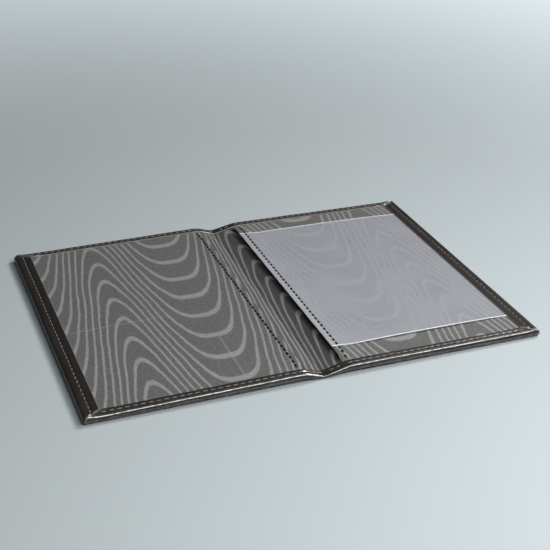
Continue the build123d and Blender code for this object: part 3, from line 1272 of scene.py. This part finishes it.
class StitchMaker:
    """Geometry Nodes that lay stitches along the paths of a mesh of edges."""

    def __init__(self) -> None:
        """Builds the node tree."""
        self.tree = bpy.data.node_groups.new("Lay stitches", "GeometryNodeTree")
        self.sockets: dict[str, str] = {}
        inputs = (
            ("Paths", "NodeSocketGeometry", None),
            ("Pitch", "NodeSocketFloat", 3.875 * MM),
            ("Length", "NodeSocketFloat", 2.7 * MM),
            ("Width", "NodeSocketFloat", 0.5 * MM),
            ("Rise", "NodeSocketFloat", 0.3 * MM),
            ("Sink", "NodeSocketFloat", 0.25 * MM),
            ("Turn", "NodeSocketFloat", 0.0),
            ("Skew", "NodeSocketFloat", 0.05),
            ("Seed", "NodeSocketInt", 7),
            ("Thread", "NodeSocketMaterial", None),
        )
        for name, kind, value in inputs:
            socket = self.tree.interface.new_socket(name, in_out="INPUT", socket_type=kind)
            if value is not None:
                socket.default_value = value
            self.sockets[name] = socket.identifier
        self.tree.interface.new_socket(
            "Stitches", in_out="OUTPUT", socket_type="NodeSocketGeometry"
        )
        g = Graph(self.tree)
        taken = g.add("NodeGroupInput").outputs
        stitch = self._stitch(g, taken)
        curve = g.add("GeometryNodeMeshToCurve", {"Mesh": taken["Paths"]}).outputs[0]
        step = g.times(taken["Pitch"], 0.998)
        spaced = g.add("GeometryNodeResampleCurve", {"Curve": curve, "Length": step}, mode="LENGTH")
        tangent = g.add("GeometryNodeInputTangent").outputs[0]
        aim = g.add("FunctionNodeAlignRotationToVector", {"Vector": tangent}, axis="X")
        laid = g.add(
            "GeometryNodeInstanceOnPoints",
            {"Points": spaced.outputs[0], "Instance": stitch, "Rotation": aim.outputs[0]},
        )
        self._finish(g, taken, laid.outputs[0])

    def _stitch(self, g: Graph, taken: object) -> bpy.types.NodeSocket:
        """One bowed stitch, whose ends dive into the skin.

        Args:
            g: The tree's graph.
            taken: The tree's input sockets.

        Returns:
            The stitch's mesh.
        """
        half = g.times(taken["Length"], 0.5)
        back = g.times(half, -1.0)
        down = g.times(taken["Sink"], -1.0)
        peak = g.scaled(taken["Rise"], 2.0, taken["Sink"])
        bow = g.add(
            "GeometryNodeCurveQuadraticBezier",
            {
                "Resolution": 7,
                "Start": g.join(back, 0.0, down),
                "Middle": g.join(0.0, 0.0, peak),
                "End": g.join(half, 0.0, down),
            },
        ).outputs[0]
        along = g.add("GeometryNodeSplineParameter").outputs["Length"]
        named = g.add(
            "GeometryNodeStoreNamedAttribute",
            {"Geometry": bow, "Name": "along", "Value": along},
            data_type="FLOAT",
            domain="POINT",
        ).outputs[0]
        ring = g.add(
            "GeometryNodeCurvePrimitiveCircle",
            {"Resolution": 6, "Radius": g.times(taken["Width"], 0.5)},
        ).outputs[0]
        tube = g.add(
            "GeometryNodeCurveToMesh", {"Curve": named, "Profile Curve": ring, "Fill Caps": True}
        ).outputs[0]
        turned = g.add(
            "GeometryNodeTransform", {"Geometry": tube, "Rotation": g.join(taken["Turn"], 0.0, 0.0)}
        )
        return turned.outputs[0]

    def _finish(self, g: Graph, taken: object, laid: bpy.types.NodeSocket) -> None:
        """Makes each stitch a little different, and its instances a plain mesh with a material.

        Args:
            g: The tree's graph.
            taken: The tree's input sockets.
            laid: The stitches as instances.
        """
        less = g.times(taken["Skew"], -1.0)
        vary = g.add("FunctionNodeRandomValue", data_type="FLOAT_VECTOR")
        g.put(vary.inputs[0], g.join(less, less, less))
        g.put(vary.inputs[1], g.join(taken["Skew"], taken["Skew"], taken["Skew"]))
        g.put(vary.inputs["Seed"], taken["Seed"])
        turns = {"Instances": laid, "Rotation": vary.outputs[0]}
        skewed = g.add("GeometryNodeRotateInstances", turns)
        real = g.add("GeometryNodeRealizeInstances", {"Geometry": skewed.outputs[0]}).outputs[0]
        smooth = g.add("GeometryNodeSetShadeSmooth", {"Geometry": real}).outputs[0]
        finish = {"Geometry": smooth, "Material": taken["Thread"]}
        dressed = g.add("GeometryNodeSetMaterial", finish)
        g.put(g.add("NodeGroupOutput").inputs[0], dressed.outputs[0])

    def lay(
        self,
        name: str,
        rows: Sequence[np.ndarray],
        thread: bpy.types.Material,
        facing: Facing,
        **sizes: float,
    ) -> bpy.types.Object:
        """Lays stitches along rows and keeps the result as a plain mesh.

        Args:
            name: Name of the piece.
            rows: Points along each row, from its first stitch's middle to its last one's.
            thread: The thread's material.
            facing: The way that the stitches bow.
            sizes: Values for the tree's inputs, by name.

        Returns:
            The stitches.
        """
        vertices = np.concatenate(rows)
        edges, start = [], 0
        for row in rows:
            edges += [(start + i, start + i + 1) for i in range(len(row) - 1)]
            start += len(row)
        paths = bpy.data.meshes.new(name + "_paths")
        paths.from_pydata(vertices.tolist(), edges, [])
        carrier = place_object(name + "_paths", paths)
        modifier = carrier.modifiers.new("Stitches", "NODES")
        modifier.node_group = self.tree
        for key, value in {"Thread": thread, "Turn": facing.value, **sizes}.items():
            modifier[self.sockets[key]] = value
        depsgraph = bpy.context.evaluated_depsgraph_get()
        laid = carrier.evaluated_get(depsgraph)
        mesh = bpy.data.meshes.new_from_object(laid, depsgraph=depsgraph)
        mesh.name = name
        carrier.modifiers.remove(modifier)
        bpy.data.objects.remove(carrier)
        return place_object(name, mesh)


def join_pieces(
    name: str, pieces: Sequence[bpy.types.Object], material: bpy.types.Material
) -> bpy.types.Object:
    """Puts several pieces of one material into one mesh.

    Args:
        name: Name of the new piece.
        pieces: The pieces, which are used up.
        material: Their finish.

    Returns:
        The new piece.
    """
    net = bmesh.new()
    for piece in pieces:
        net.from_mesh(piece.data)
    mesh = bpy.data.meshes.new(name)
    net.to_mesh(mesh)
    net.free()
    mesh.materials.append(material)
    mesh.polygons.foreach_set("material_index", np.zeros(len(mesh.polygons), np.int32))
    for piece in pieces:
        bpy.data.objects.remove(piece)
    return place_object(name, mesh)


@dataclass
class HemStitching:
    """The seams that hold the hems: rows on top and, through the skin, rows underneath."""

    sizes: HolderSizes
    section: SpineSection
    maker: StitchMaker
    sunk: float = 0.12 * MM
    width: float = 0.46 * MM
    under_sunk: float = 0.30 * MM
    rise: float = 0.14 * MM
    under_rise: float = 0.05 * MM
    spine_margin: float = 0.95
    spine_length: float = 0.9

    def _heights(self, x: np.ndarray, facing: Facing) -> np.ndarray:
        """Height that a row's stitches are laid at."""
        if facing is Facing.UP:
            return self.section.hem(x) - self.sunk
        return self.section.under(x) + self.under_sunk

    def _row(self, row: SeamRow, facing: Facing) -> np.ndarray:
        """Points along one row on a panel."""
        along = even_run(row.start, row.end, 2 * self.sizes.stitch_pitch)
        across = np.full(len(along), row.at)
        x, y = (along, across) if row.along_x else (across, along)
        return np.stack((x, y, self._heights(x, facing)), -1)

    def build(self, finishes: Finishes) -> None:
        """Lays the seams and joins them to the frame.

        Args:
            finishes: The holder's materials.
        """
        rows = SeamRow.on_hems(self.sizes)
        for side in Side:
            own = [row for row in rows if row.side is side]
            word = side.word
            paths = {facing: [self._row(row, facing) for row in own] for facing in Facing}
            nodes = (f"{word}_side_stitching", f"{word}_end_stitching")
            self._lay(f"{word}_hem_stitches", paths, finishes, f"{word}_panel", nodes)
            paths = {facing: self._spine_rows(side, own, facing) for facing in Facing}
            nodes = (f"spine_{word}_stitching",)
            self._lay(f"spine_{word}_stitches", paths, finishes, f"spine_{word}", nodes, True)

    def _spine_rows(self, side: Side, own: Sequence[SeamRow], facing: Facing) -> list[np.ndarray]:
        """Points along the short rows on one half of the spine.

        Args:
            side: The half.
            own: The rows of the panel beside it, for their places.
            facing: The face that they lie on.

        Returns:
            A front and a back row.
        """
        low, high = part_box(f"spine_{side.word}_stitching")
        margin = self.sizes.stitch_length / 2 * self.spine_margin
        x = np.linspace(low.x + margin, high.x - margin, 5)
        z = self._heights(x, facing)
        return [np.stack((x, np.full(len(x), row.at), z), -1) for row in own if row.along_x]

    def _lay(
        self,
        name: str,
        paths: dict[Facing, list[np.ndarray]],
        finishes: Finishes,
        body: str,
        nodes: Sequence[str],
        only_ends: bool = False,
    ) -> None:
        """Lays one seam on both faces, as one piece that rides on a body.

        Args:
            name: Name of the piece.
            paths: The rows' points for each face.
            finishes: The holder's materials.
            body: The body that it rides on.
            nodes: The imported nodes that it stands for.
            only_ends: Whether a row has a stitch at its two ends only.
        """
        parts = []
        for facing, rows in paths.items():
            sizes = {"Rise": self.rise if facing is Facing.UP else self.under_rise}
            if only_ends:
                sizes["Pitch"] = float(np.linalg.norm(rows[0][-1] - rows[0][0]))
                sizes["Length"] = self.sizes.stitch_length * self.spine_length
            part = f"{name}_{facing.name.lower()}"
            thread = finishes.hem_thread
            parts.append(self.maker.lay(part, rows, thread, facing, Width=self.width, **sizes))
        piece = join_pieces(name, parts, finishes.hem_thread)
        attach(piece, body, nodes)


def attach(piece: bpy.types.Object, body: str, nodes: Sequence[str]) -> None:
    """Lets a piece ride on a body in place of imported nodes.

    Args:
        piece: The finished piece.
        body: The body that it rides on.
        nodes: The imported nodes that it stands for.
    """
    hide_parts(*nodes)
    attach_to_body(piece, body)
    log.info("%s: %d faces, rides on %s", piece.name, len(piece.data.polygons), body)


def attach_over(
    piece: bpy.types.Object,
    bodies: tuple[str, str],
    span: tuple[float, float],
    nodes: Sequence[str],
) -> None:
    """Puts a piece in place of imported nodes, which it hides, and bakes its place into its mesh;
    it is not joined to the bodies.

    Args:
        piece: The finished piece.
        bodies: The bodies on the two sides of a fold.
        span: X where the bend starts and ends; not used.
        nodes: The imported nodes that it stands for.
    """
    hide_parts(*nodes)
    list(bodies)
    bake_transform(piece)
    log.info("%s: %d faces, bends from %s to %s", piece.name, len(piece.data.polygons), *bodies)


def fold_spans(sizes: HolderSizes) -> tuple:
    """Name, bodies and X span of the bend for each third of a sheet that spans the holder."""
    ridge, half = sizes.ridge_x, sizes.half_spine
    return (
        ("left", ("left_panel", "spine_left"), (-ridge - half, -half)),
        ("middle", ("spine_left", "spine_right"), (-half, half)),
        ("right", ("spine_right", "right_panel"), (half, ridge + half)),
    )


def spanned_nodes(kind: str, part: str) -> tuple[str, str]:
    """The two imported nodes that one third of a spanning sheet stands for."""
    first, second = ("spine_left", "spine_right") if part == "middle" else (part, f"spine_{part}")
    return f"{first}_{kind}", f"{second}_{kind}"


# Cloth, window and the layers inside


@dataclass(frozen=True)
class ClothCut:
    """Where a piece was cut from the cloth: its bottom of a wave in X and in Y."""

    wave_x: float
    wave_y: float
    lean: float
    crowding: float = 1.0
    half_pitch: float = FIGURE_PITCH / 2

    def place(self, points: np.ndarray) -> np.ndarray:
        """Place of each point on the flat cloth."""
        x = (points[:, 0] - self.lean * points[:, 1]) * self.crowding
        return np.stack((x - self.wave_x, points[:, 1] - self.wave_y + self.half_pitch), -1)


@dataclass
class SpineLining:
    """The backing lining: one cloth under both pocket panels and over the soft spine."""

    sizes: HolderSizes
    section: SpineSection
    cut: ClothCut = ClothCut(-31 * MM, 4 * MM, -0.03, 1.3)
    pleats: tuple = (
        (-6.0 * MM, 1.2 * MM, 0.10 * MM),
        (3.4 * MM, 1.5 * MM, -0.18 * MM),
        (6.6 * MM, 1.0 * MM, 0.10 * MM),
    )
    edge_gap: float = 0.3 * MM
    fine_reach: float = 9 * MM
    fine: float = 0.4 * MM
    coarse: float = 8 * MM
    row_step: float = 1.5 * MM
    # Strength of the painted shade: over the whole lining, at the left pocket's mouth and from the
    # right pocket's edge outward.
    fold_shade: float = 0.56
    left_mouth_shade: float = 0.5
    right_mouth_shade: float = 0.35

    def _top(self, x: np.ndarray, y: np.ndarray) -> np.ndarray:
        """Height of the cloth's top face, with soft pleats along the spine."""
        s = self.sizes
        z = self.section.lining(x)
        free = 1 - smooth_step(s.half_depth - 14 * MM, s.half_depth - s.end_hem, np.abs(y))
        for at, reach, rise in self.pleats:
            drift = 0.7 * MM * ripples(y, (83 * MM, 47 * MM), at / MM)
            uneven = 1 + 0.4 * ripples(y, (71 * MM,), at)
            z = z + free * rise * bump(x - drift, at, reach) * uneven
        spine = 1 - smooth_step(s.ridge_x - 1 * MM, s.ridge_x + 3 * MM, np.abs(x))
        return z + 0.04 * MM * spine * free * ripples(y + 0.8 * x, (19 * MM, 33 * MM), 2.0)

    def _bottom(self, x: np.ndarray, y: np.ndarray) -> np.ndarray:
        """Height of the cloth's lower face."""
        return self._top(x, y) - self.sizes.lining_thickness

    def _worn(self, points: np.ndarray) -> np.ndarray:
        """Painted shade on the cloth: some all over, a little more past the valley, a line at the
        left pocket's mouth and a band from the right pocket's edge outward.
        """
        x = points[:, 0]
        fold = self.fold_shade + 0.04 * smooth_step(-4.5 * MM, 0.5 * MM, x)
        left_mouth = self.left_mouth_shade * bump(x, -10.2 * MM, 0.7 * MM)
        return fold + left_mouth + self.right_mouth_shade * smooth_step(7.2 * MM, 8.8 * MM, x)

    def build(self, finishes: Finishes) -> None:
        """Makes the cloth in three pieces, one for each span across the folds, in place of the
        imported lining nodes.

        Args:
            finishes: The holder's materials.
        """
        s = self.sizes
        half, near = s.half_spine, s.ridge_x + self.fine_reach
        reach = s.half_width - s.inner_setback - self.edge_gap
        depth = s.half_depth - s.inner_setback - self.edge_gap
        rows = even_run(-depth, depth, self.row_step)
        outer, inner = even_run(-reach, -near, self.coarse), even_run(-near, -half, self.fine)
        back, out = even_run(half, near, self.fine), even_run(near, reach, self.coarse)
        runs = {
            "left": np.concatenate((outer[:-1], inner)),
            "middle": even_run(-half, half, self.fine),
            "right": np.concatenate((back, out[1:])),
        }
        for part, bodies, span in fold_spans(s):
            x = runs[part]
            points, faces = loft(sheet_sections(x, rows, self._top, self._bottom))
            piece = make_piece(
                f"spine_lining_{part}",
                points,
                faces,
                finishes.lining,
                cloth=self.cut.place(points),
                # Painted shade over the spine and at the pockets' mouths.
                masks={"worn": self._worn(points)},
            )
            across = float(np.sum(np.hypot(np.diff(x), np.diff(self.section.lining(x)))))
            attach_over(piece, bodies, span, spanned_nodes("lining", part))


@dataclass
class PocketPanel:
    """The upper lining panel: its edge beside the spine is turned under, and forms a pocket."""

    sizes: HolderSizes
    section: SpineSection
    side: Side
    cut: ClothCut
    creases: tuple = ()
    setback: float = 0.5 * MM
    turn_width: float = 7.0 * MM
    edge_thickness: float = 0.75 * MM
    sheet_thickness: float = 0.25 * MM
    edge_lift: float = 0.6 * MM
    mouth_reach: float = 15 * MM
    seam_inset: float = 3.45 * MM
    seam_depth: float = 0.14 * MM
    seam_reach: float = 0.8 * MM
    puff_height: float = 0.10 * MM
    sway: float = 0.03 * MM
    edge_gap: float = 0.4 * MM
    fine_reach: float = 6 * MM
    fine: float = 0.35 * MM
    stitches: int = 42

    def _free(self, y: np.ndarray) -> np.ndarray:
        """1 where the folded edge is free to lift, 0 where the hems hold it."""
        s = self.sizes
        return 1 - smooth_step(s.half_depth - 13 * MM, s.half_depth - s.end_hem, np.abs(y))

    def top(self, out: np.ndarray, y: np.ndarray) -> np.ndarray:
        """Height of the panel's top face.

        Args:
            out: Distance outward from the ridge.
            y: Place along the holder.

        Returns:
            The height.
        """
        s = self.sizes
        x = self.side.value * (s.ridge_x + out)
        free = self._free(y)
        z = self.section.pocket(x, y)
        z = z + self.edge_lift * free * (1 - smooth_step(0.0, self.mouth_reach, out))
        wave = (1 - np.cos(FULL_TURN * (y - self.first_stitch) / s.stitch_pitch)) / 2
        pressed = bump(out, self.seam_inset, self.seam_reach)
        z = z - self.seam_depth * pressed * (0.5 + 0.5 * wave)
        puff = bump(out, 1.6 * MM, 1.1 * MM) * self.puff_height * (1 - 0.5 * wave)
        uneven = ripples(out + 0.6 * y, (53 * MM, 31 * MM), 1.0 + self.side.value)
        z = z + puff * free + self.sway * uneven
        for crease in self.creases:
            z = z + crease.height * crease.trace(out, y)
        return z

    @property
    def first_stitch(self) -> float:
        """Y of the first stitch's middle."""
        return -(self.stitches - 1) / 2 * self.sizes.stitch_pitch

    def _outline(self) -> tuple[np.ndarray, np.ndarray]:
        """The panel's outline across its folded edge.

        Returns:
            How far out each point is, and how deep below the top face.
        """
        s = self.sizes
        end = s.half_width - s.ridge_x - s.inner_setback - self.edge_gap
        nose = self.edge_thickness / 2
        angles = np.linspace(pi / 2, -pi / 2, 9)[1:-1]
        fine = even_run(self.setback + nose, self.fine_reach, self.fine)
        stops = [[end], *(crease.columns() for crease in self.creases)]
        wide = even_run(self.fine_reach, end, 3.2 * MM)[1:]
        wide = np.unique(np.concatenate((wide, *stops)))
        top_out = np.concatenate((fine, wide))[::-1]
        nose_out = self.setback + nose - nose * np.cos(angles)
        nose_deep = nose - nose * np.sin(angles)
        flap_end = self.setback + self.turn_width
        flap = even_run(self.setback + nose, flap_end, 0.8 * MM)
        beyond = even_run(9 * MM, end, 6 * MM)
        low_out = np.concatenate((flap, [flap_end + 0.05 * MM], beyond))
        low_deep = np.where(low_out <= flap_end, self.edge_thickness, self.sheet_thickness)
        out = np.concatenate((top_out, nose_out, low_out))
        deep = np.concatenate((np.zeros(len(top_out)), nose_deep, low_deep))
        return out, deep

    def build(self, finishes: Finishes) -> None:
        """Makes the panel and joins it to the frame.

        Args:
            finishes: The holder's materials.
        """
        s = self.sizes
        word = self.side.word
        out, deep = self._outline()
        depth = s.half_depth - s.inner_setback - self.edge_gap
        along = even_run(-depth, depth, FINE_STEP)
        across, rows = np.meshgrid(out, along)
        z = self.top(across, rows) - deep
        x = self.side.value * (s.ridge_x + across)
        sections = np.stack((x, rows, z), -1)
        pressed = sum((crease.trace(across, rows) for crease in self.creases), np.zeros(rows.shape))
        if self.side is Side.LEFT:
            sections, pressed = sections[:, ::-1], pressed[:, ::-1]
        points, faces = loft(sections)
        piece = make_piece(
            f"{word}_pocket",
            points,
            faces,
            finishes.lining,
            cloth=self.cut.place(points),
            masks={"pressed": pressed.ravel()},
        )
        attach(piece, f"{word}_panel", (f"{word}_pocket_panel",))


@dataclass(frozen=True)
class Crease:
    """A faint pressed line across the lining.

    One that runs along Y lies at one distance out from the ridge, and its start and end are in Y.
    One that runs across lies at one Y, and its start and end are distances out from the ridge.
    """

    along_y: bool
    at: float
    start: float
    end: float
    height: float = 0.10 * MM
    reach: float = 0.5 * MM
    fade: float = 3 * MM

    def trace(self, out: np.ndarray, y: np.ndarray) -> np.ndarray:
        """1 on the crease, 0 away from it."""
        along, across = (y, out) if self.along_y else (out, y)
        shown = smooth_step(self.start - self.fade, self.start + self.fade, along)
        shown = shown * (1 - smooth_step(self.end - self.fade, self.end + self.fade, along))
        return shown * bump(across, self.at, self.reach)

    def columns(self) -> np.ndarray:
        """Extra places out from the ridge that the crease's shape needs."""
        if self.along_y:
            return self.at + np.linspace(-1.0, 1.0, 7) * MM
        return np.array([self.start, self.end])


@dataclass
class VinylWindow:
    """The clear sheet over the right pocket panel: sewn at the spine, held by the side hem."""

    sizes: HolderSizes
    pocket: PocketPanel
    setback: float = 0.0 * MM
    thickness: float = 0.25 * MM
    bulge: float = 0.55 * MM
    curl: float = 0.25 * MM
    sway: float = 0.06 * MM
    arch: float = 0.05 * MM
    clearance: float = 0.03 * MM
    skew: float = -0.9 * MM

    def __post_init__(self) -> None:
        """Takes the sheet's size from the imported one."""
        low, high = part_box("vinyl_window")
        self.half_length = high.y
        self.end = high.x - self.sizes.ridge_x

    def lift(self, out: np.ndarray, y: np.ndarray) -> np.ndarray:
        """How far the sheet stands off the pocket panel."""
        hem_edge = self.sizes.half_width - self.sizes.side_hem - self.sizes.ridge_x
        seam = self.pocket.seam_inset
        share = np.clip((out - seam) / (hem_edge - seam), 0.0, 1.0)
        open_end = smooth_step(0.45, 1.0, np.abs(y) / self.half_length)
        swell = np.sin(pi * share) ** 0.8 * (0.35 + 0.65 * open_end)
        curl = self.curl * open_end**4 * smooth_step(0.02, 0.2, share)
        curl = curl * (1 - smooth_step(0.9, 1.0, share))
        arch = np.sin(pi * share)
        sway = self.sway * arch * ripples(y + 0.4 * out, (46 * MM, 29 * MM), 0.9)
        return self.clearance + self.bulge * swell + curl + sway + self.arch * arch

    def build(self, finishes: Finishes) -> None:
        """Makes the sheet and joins it to the frame.

        Args:
            finishes: The holder's materials.
        """
        s = self.sizes
        pocket, half = self.pocket, self.half_length
        seam_zone = even_run(self.setback, pocket.fine_reach, pocket.fine)
        out = np.concatenate((seam_zone, even_run(pocket.fine_reach, self.end, 2.0 * MM)[1:]))
        rounding = np.array((0.0, 0.12, 0.5, 1.0)) * MM
        inner = even_run(-half + rounding[-1], half - rounding[-1], FINE_STEP)
        along = np.concatenate((-half + rounding[:-1], inner, half - rounding[-2::-1]))
        around = np.concatenate((out, out[::-1]))
        across, rows = np.meshgrid(around, along)
        is_top = np.arange(len(around)) >= len(out)
        z = pocket.top(across, rows) + self.lift(across, rows) + self.thickness * is_top
        slant = self.skew * (across / self.end - 0.5) * rows / half
        x = s.ridge_x + across
        sections = np.stack((x, rows + slant, z), -1)
        points, faces = loft(sections)
        place = across.ravel()
        # Painted highlight on the free ends and, fainter, on the edge by the spine.
        edge = 1 - smooth_step(0.3 * MM, 1.0 * MM, half - np.abs(rows.ravel()))
        spine_edge = 1 - smooth_step(self.setback + 0.1 * MM, self.setback + 0.5 * MM, place)
        seam = pocket.seam_inset
        haze = 1 - smooth_step(seam - 0.6 * MM, seam + 0.4 * MM, place)
        masks = {"edge": np.maximum(edge, 0.35 * spine_edge), "haze": haze}
        piece = make_piece("clear_window", points, faces, finishes.vinyl, masks=masks)
        attach(piece, "right_panel", ("vinyl_window",))


@dataclass
class PocketStitching:
    """The dark row along a pocket panel's folded edge, over the window's margin if it has one."""

    maker: StitchMaker
    pocket: PocketPanel
    window: VinylWindow | None
    width: float = 1.15 * MM
    length: float = 2.2 * MM
    length_on_window: float = 1.7 * MM
    rise: float = 0.14 * MM
    sink: float = 0.20 * MM
    skew: float = 0.06

    def build(self, finishes: Finishes) -> None:
        """Lays the row and joins it to the frame.

        Args:
            finishes: The holder's materials.
        """
        pocket = self.pocket
        side = pocket.side
        last = -pocket.first_stitch
        y = np.linspace(-last, last, pocket.stitches)
        out = np.full(len(y), pocket.seam_inset)
        z = pocket.top(out, y)
        if self.window is not None:
            over = np.abs(y) < self.window.half_length
            z = z + np.where(over, self.window.thickness + self.window.lift(out, y), 0.0)
        x = side.value * (pocket.sizes.ridge_x + out)
        row = np.stack((x, y, z), -1)
        piece = self.maker.lay(
            f"{side.word}_pocket_stitches",
            [row],
            finishes.pocket_thread,
            Facing.UP,
            Width=self.width,
            Length=self.length if self.window is None else self.length_on_window,
            Rise=self.rise,
            Sink=self.sink,
            Skew=self.skew,
        )
        attach(piece, f"{side.word}_panel", (f"{side.word}_pocket_stitching",))


@dataclass
class InsideLayers:
    """The boards, which stay as packed, and the soft padding under them."""

    sizes: HolderSizes
    thickness: float = 0.45 * MM
    wave: float = 0.05 * MM
    step: float = 3 * MM

    def _bottom(self, x: np.ndarray, y: np.ndarray) -> np.ndarray:
        """Height of the padding's lower face."""
        return self.sizes.panel_base(x) + self.sizes.cover_thickness

    def _top(self, x: np.ndarray, y: np.ndarray) -> np.ndarray:
        """Height of the padding's upper face, a little uneven."""
        uneven = 0.5 + 0.5 * ripples(x + y, (9 * MM, 6 * MM), 0.7)
        return self._bottom(x, y) + self.thickness - self.wave * uneven

    def build(self, finishes: Finishes) -> None:
        """Dresses the boards and makes the padding.

        Args:
            finishes: The holder's materials.
        """
        for side in Side:
            board = frame["nodes"][f"{side.word}_board"]
            board.data.materials.clear()
            board.data.materials.append(finishes.greyboard)
            node = f"{side.word}_padding"
            low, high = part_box(node)
            x = even_run(low.x, high.x, self.step)
            y = even_run(low.y, high.y, self.step)
            points, faces = loft(sheet_sections(x, y, self._top, self._bottom))
            piece = make_piece(f"{side.word}_foam", points, faces, finishes.foam)
            attach(piece, f"{side.word}_panel", (node,))
            log.info("%s stays as packed, in greyboard", board.name)


# The studio


@dataclass(frozen=True)
class Studio:
    """A pale table, soft light and a camera at the photograph's angle."""

    azimuth: float = -22.101
    elevation: float = 27.97
    roll: float = 1.483
    distance: float = 659.536 * MM
    shift_right: float = 5.826 * MM
    shift_up: float = 12.398 * MM
    focal_pixels: float = 1170.047
    frame_pixels: float = 550.0
    sensor: float = 36.0
    table_colour: tuple = (0.46, 0.51, 0.525, 1)
    table_size: float = 30.0
    far_start: float = 0.22
    far_end: float = 0.9
    far_colour: tuple = (0.33, 0.365, 0.375, 1)
    horizon_colour: tuple = (0.38, 0.42, 0.43, 1)
    backdrop_colour: tuple = (0.03, 0.033, 0.036, 1)
    ceiling_colour: tuple = (0.135, 0.145, 0.15, 1)

    def camera(self) -> None:
        """Places the camera."""
        turn, up_angle = radians(self.azimuth), radians(self.elevation)
        back = Vector((sin(turn) * cos(up_angle), -cos(turn) * cos(up_angle), sin(up_angle)))
        right = Vector((0, 0, 1)).cross(back).normalized()
        up = back.cross(right)
        lean = radians(self.roll)
        right, up = right * cos(lean) + up * sin(lean), up * cos(lean) - right * sin(lean)
        place = right * self.shift_right + up * self.shift_up + back * self.distance
        data = bpy.data.cameras.new("camera")
        data.sensor_fit = "HORIZONTAL"
        data.sensor_width = self.sensor
        data.lens = self.focal_pixels / self.frame_pixels * self.sensor
        data.clip_start = 0.01
        data.clip_end = 50.0
        camera = place_object("camera", data)
        axes = Matrix((right, up, back)).transposed().to_4x4()
        camera.matrix_world = Matrix.Translation(place) @ axes
        bpy.context.scene.camera = camera

    def table(self) -> None:
        """Makes the table top that the holder lies on."""
        half = self.table_size / 2
        corners = np.array(((-half, -half, 0), (half, -half, 0), (half, half, 0), (-half, half, 0)))
        settings = {"Base Color": self.table_colour, "Specular IOR Level": 0.3}
        settings["Emission Strength"] = 1.0
        material, g, shader, where = new_material("Table top", settings)
        g.put(shader.inputs["Roughness"], g.spread(g.noise(where, 40 * MM), 0.50, 0.60))
        away = g.add("ShaderNodeVectorMath", {0: where}, operation="LENGTH").outputs["Value"]
        seen = g.add("ShaderNodeLightPath").outputs["Is Camera Ray"]
        far = g.times(g.ramp(away, self.far_start, self.far_end), seen)
        g.put(shader.inputs["Emission Color"], g.mix(far, (0, 0, 0, 1), self.far_colour))
        make_piece("table", corners, [(0, 1, 2, 3)], material)

    def _softbox(self, name: str, place: tuple, size: tuple, power: float, colour: tuple) -> None:
        """Hangs one soft rectangular lamp that looks at the holder.

        Args:
            name: Name of the lamp.
            place: Where it hangs, in metres.
            size: Its width and height.
            power: Its power in watts.
            colour: Its colour.
        """
        data = bpy.data.lights.new(name, "AREA")
        data.shape = "RECTANGLE"
        data.size, data.size_y = size
        data.energy = power
        data.color = colour
        lamp = place_object(name, data)
        lamp.location = place
        lamp.rotation_euler = (-Vector(place)).to_track_quat("-Z", "Y").to_euler()

    def light(self) -> None:
        """Hangs the lamps and sets the pale world."""
        self._softbox("front", (0.15, -0.33, 0.37), (0.60, 0.10), 2.2, (1.0, 0.99, 0.98))
        self._softbox("back", (1.5, 0.5, 1.25), (0.7, 0.6), 32.2, (1.0, 1.0, 1.0))
        world = bpy.data.worlds.new("world")
        world.use_nodes = True
        g = Graph(world.node_tree)
        height = g.split(g.add("ShaderNodeTexCoord").outputs["Generated"])[2]
        backdrop = world.node_tree.nodes["Background"]
        sky = g.mix(g.ramp(height, 0.45, 1.0), self.backdrop_colour, self.ceiling_colour)
        seen = g.add("ShaderNodeLightPath").outputs["Is Camera Ray"]
        g.put(backdrop.inputs["Color"], g.mix(seen, sky, self.horizon_colour))
        bpy.context.scene.world = world
        bpy.context.scene.view_settings.view_transform = "Standard"

    def build(self) -> None:
        """Sets up everything round the holder."""
        self.camera()
        self.table()
        self.light()


# The holder


def dress_cover(sizes: HolderSizes, section: SpineSection, finishes: Finishes) -> None:
    """Makes the skin and sets its three pieces in place of the imported cover nodes.

    Args:
        sizes: The holder's sizes.
        section: Heights across the holder.
        finishes: The holder's materials.
    """
    pieces = CoverSkin(sizes, section).build(finishes)
    for piece, (part, bodies, span) in zip(pieces, fold_spans(sizes)):
        attach_over(piece, bodies, span, spanned_nodes("cover", part))


def main() -> None:
    """Builds the studio and every piece of the holder, in order."""
    logging.basicConfig(level=logging.INFO, format="%(name)s %(message)s")
    Studio().build()
    sizes = HolderSizes.from_frame()
    section = SpineSection(sizes)
    finishes = Finishes()
    maker = StitchMaker()
    dress_cover(sizes, section, finishes)
    SpineLining(sizes, section).build(finishes)
    ridge = sizes.ridge_x
    creases = (
        Crease(False, -9.4 * MM, 62 * MM - ridge, 114 * MM - ridge),
        Crease(True, 40.6 * MM - ridge, -80 * MM, -37 * MM),
    )
    cut = ClothCut(-41.1 * MM, 28.7 * MM, 0.032)
    left = PocketPanel(sizes, section, Side.LEFT, cut, creases, edge_lift=0.8 * MM)
    cut = ClothCut(51.0 * MM, 14.8 * MM, 0.02)
    right = PocketPanel(
        sizes, section, Side.RIGHT, cut, setback=-0.1 * MM, edge_lift=1.2 * MM
    )
    left.build(finishes)
    right.build(finishes)
    window = VinylWindow(sizes, right)
    window.build(finishes)
    PocketStitching(maker, left, None).build(finishes)
    PocketStitching(maker, right, window).build(finishes)
    HemStitching(sizes, section, maker).build(finishes)
    InsideLayers(sizes).build(finishes)


if __name__ == "__main__":
    main()
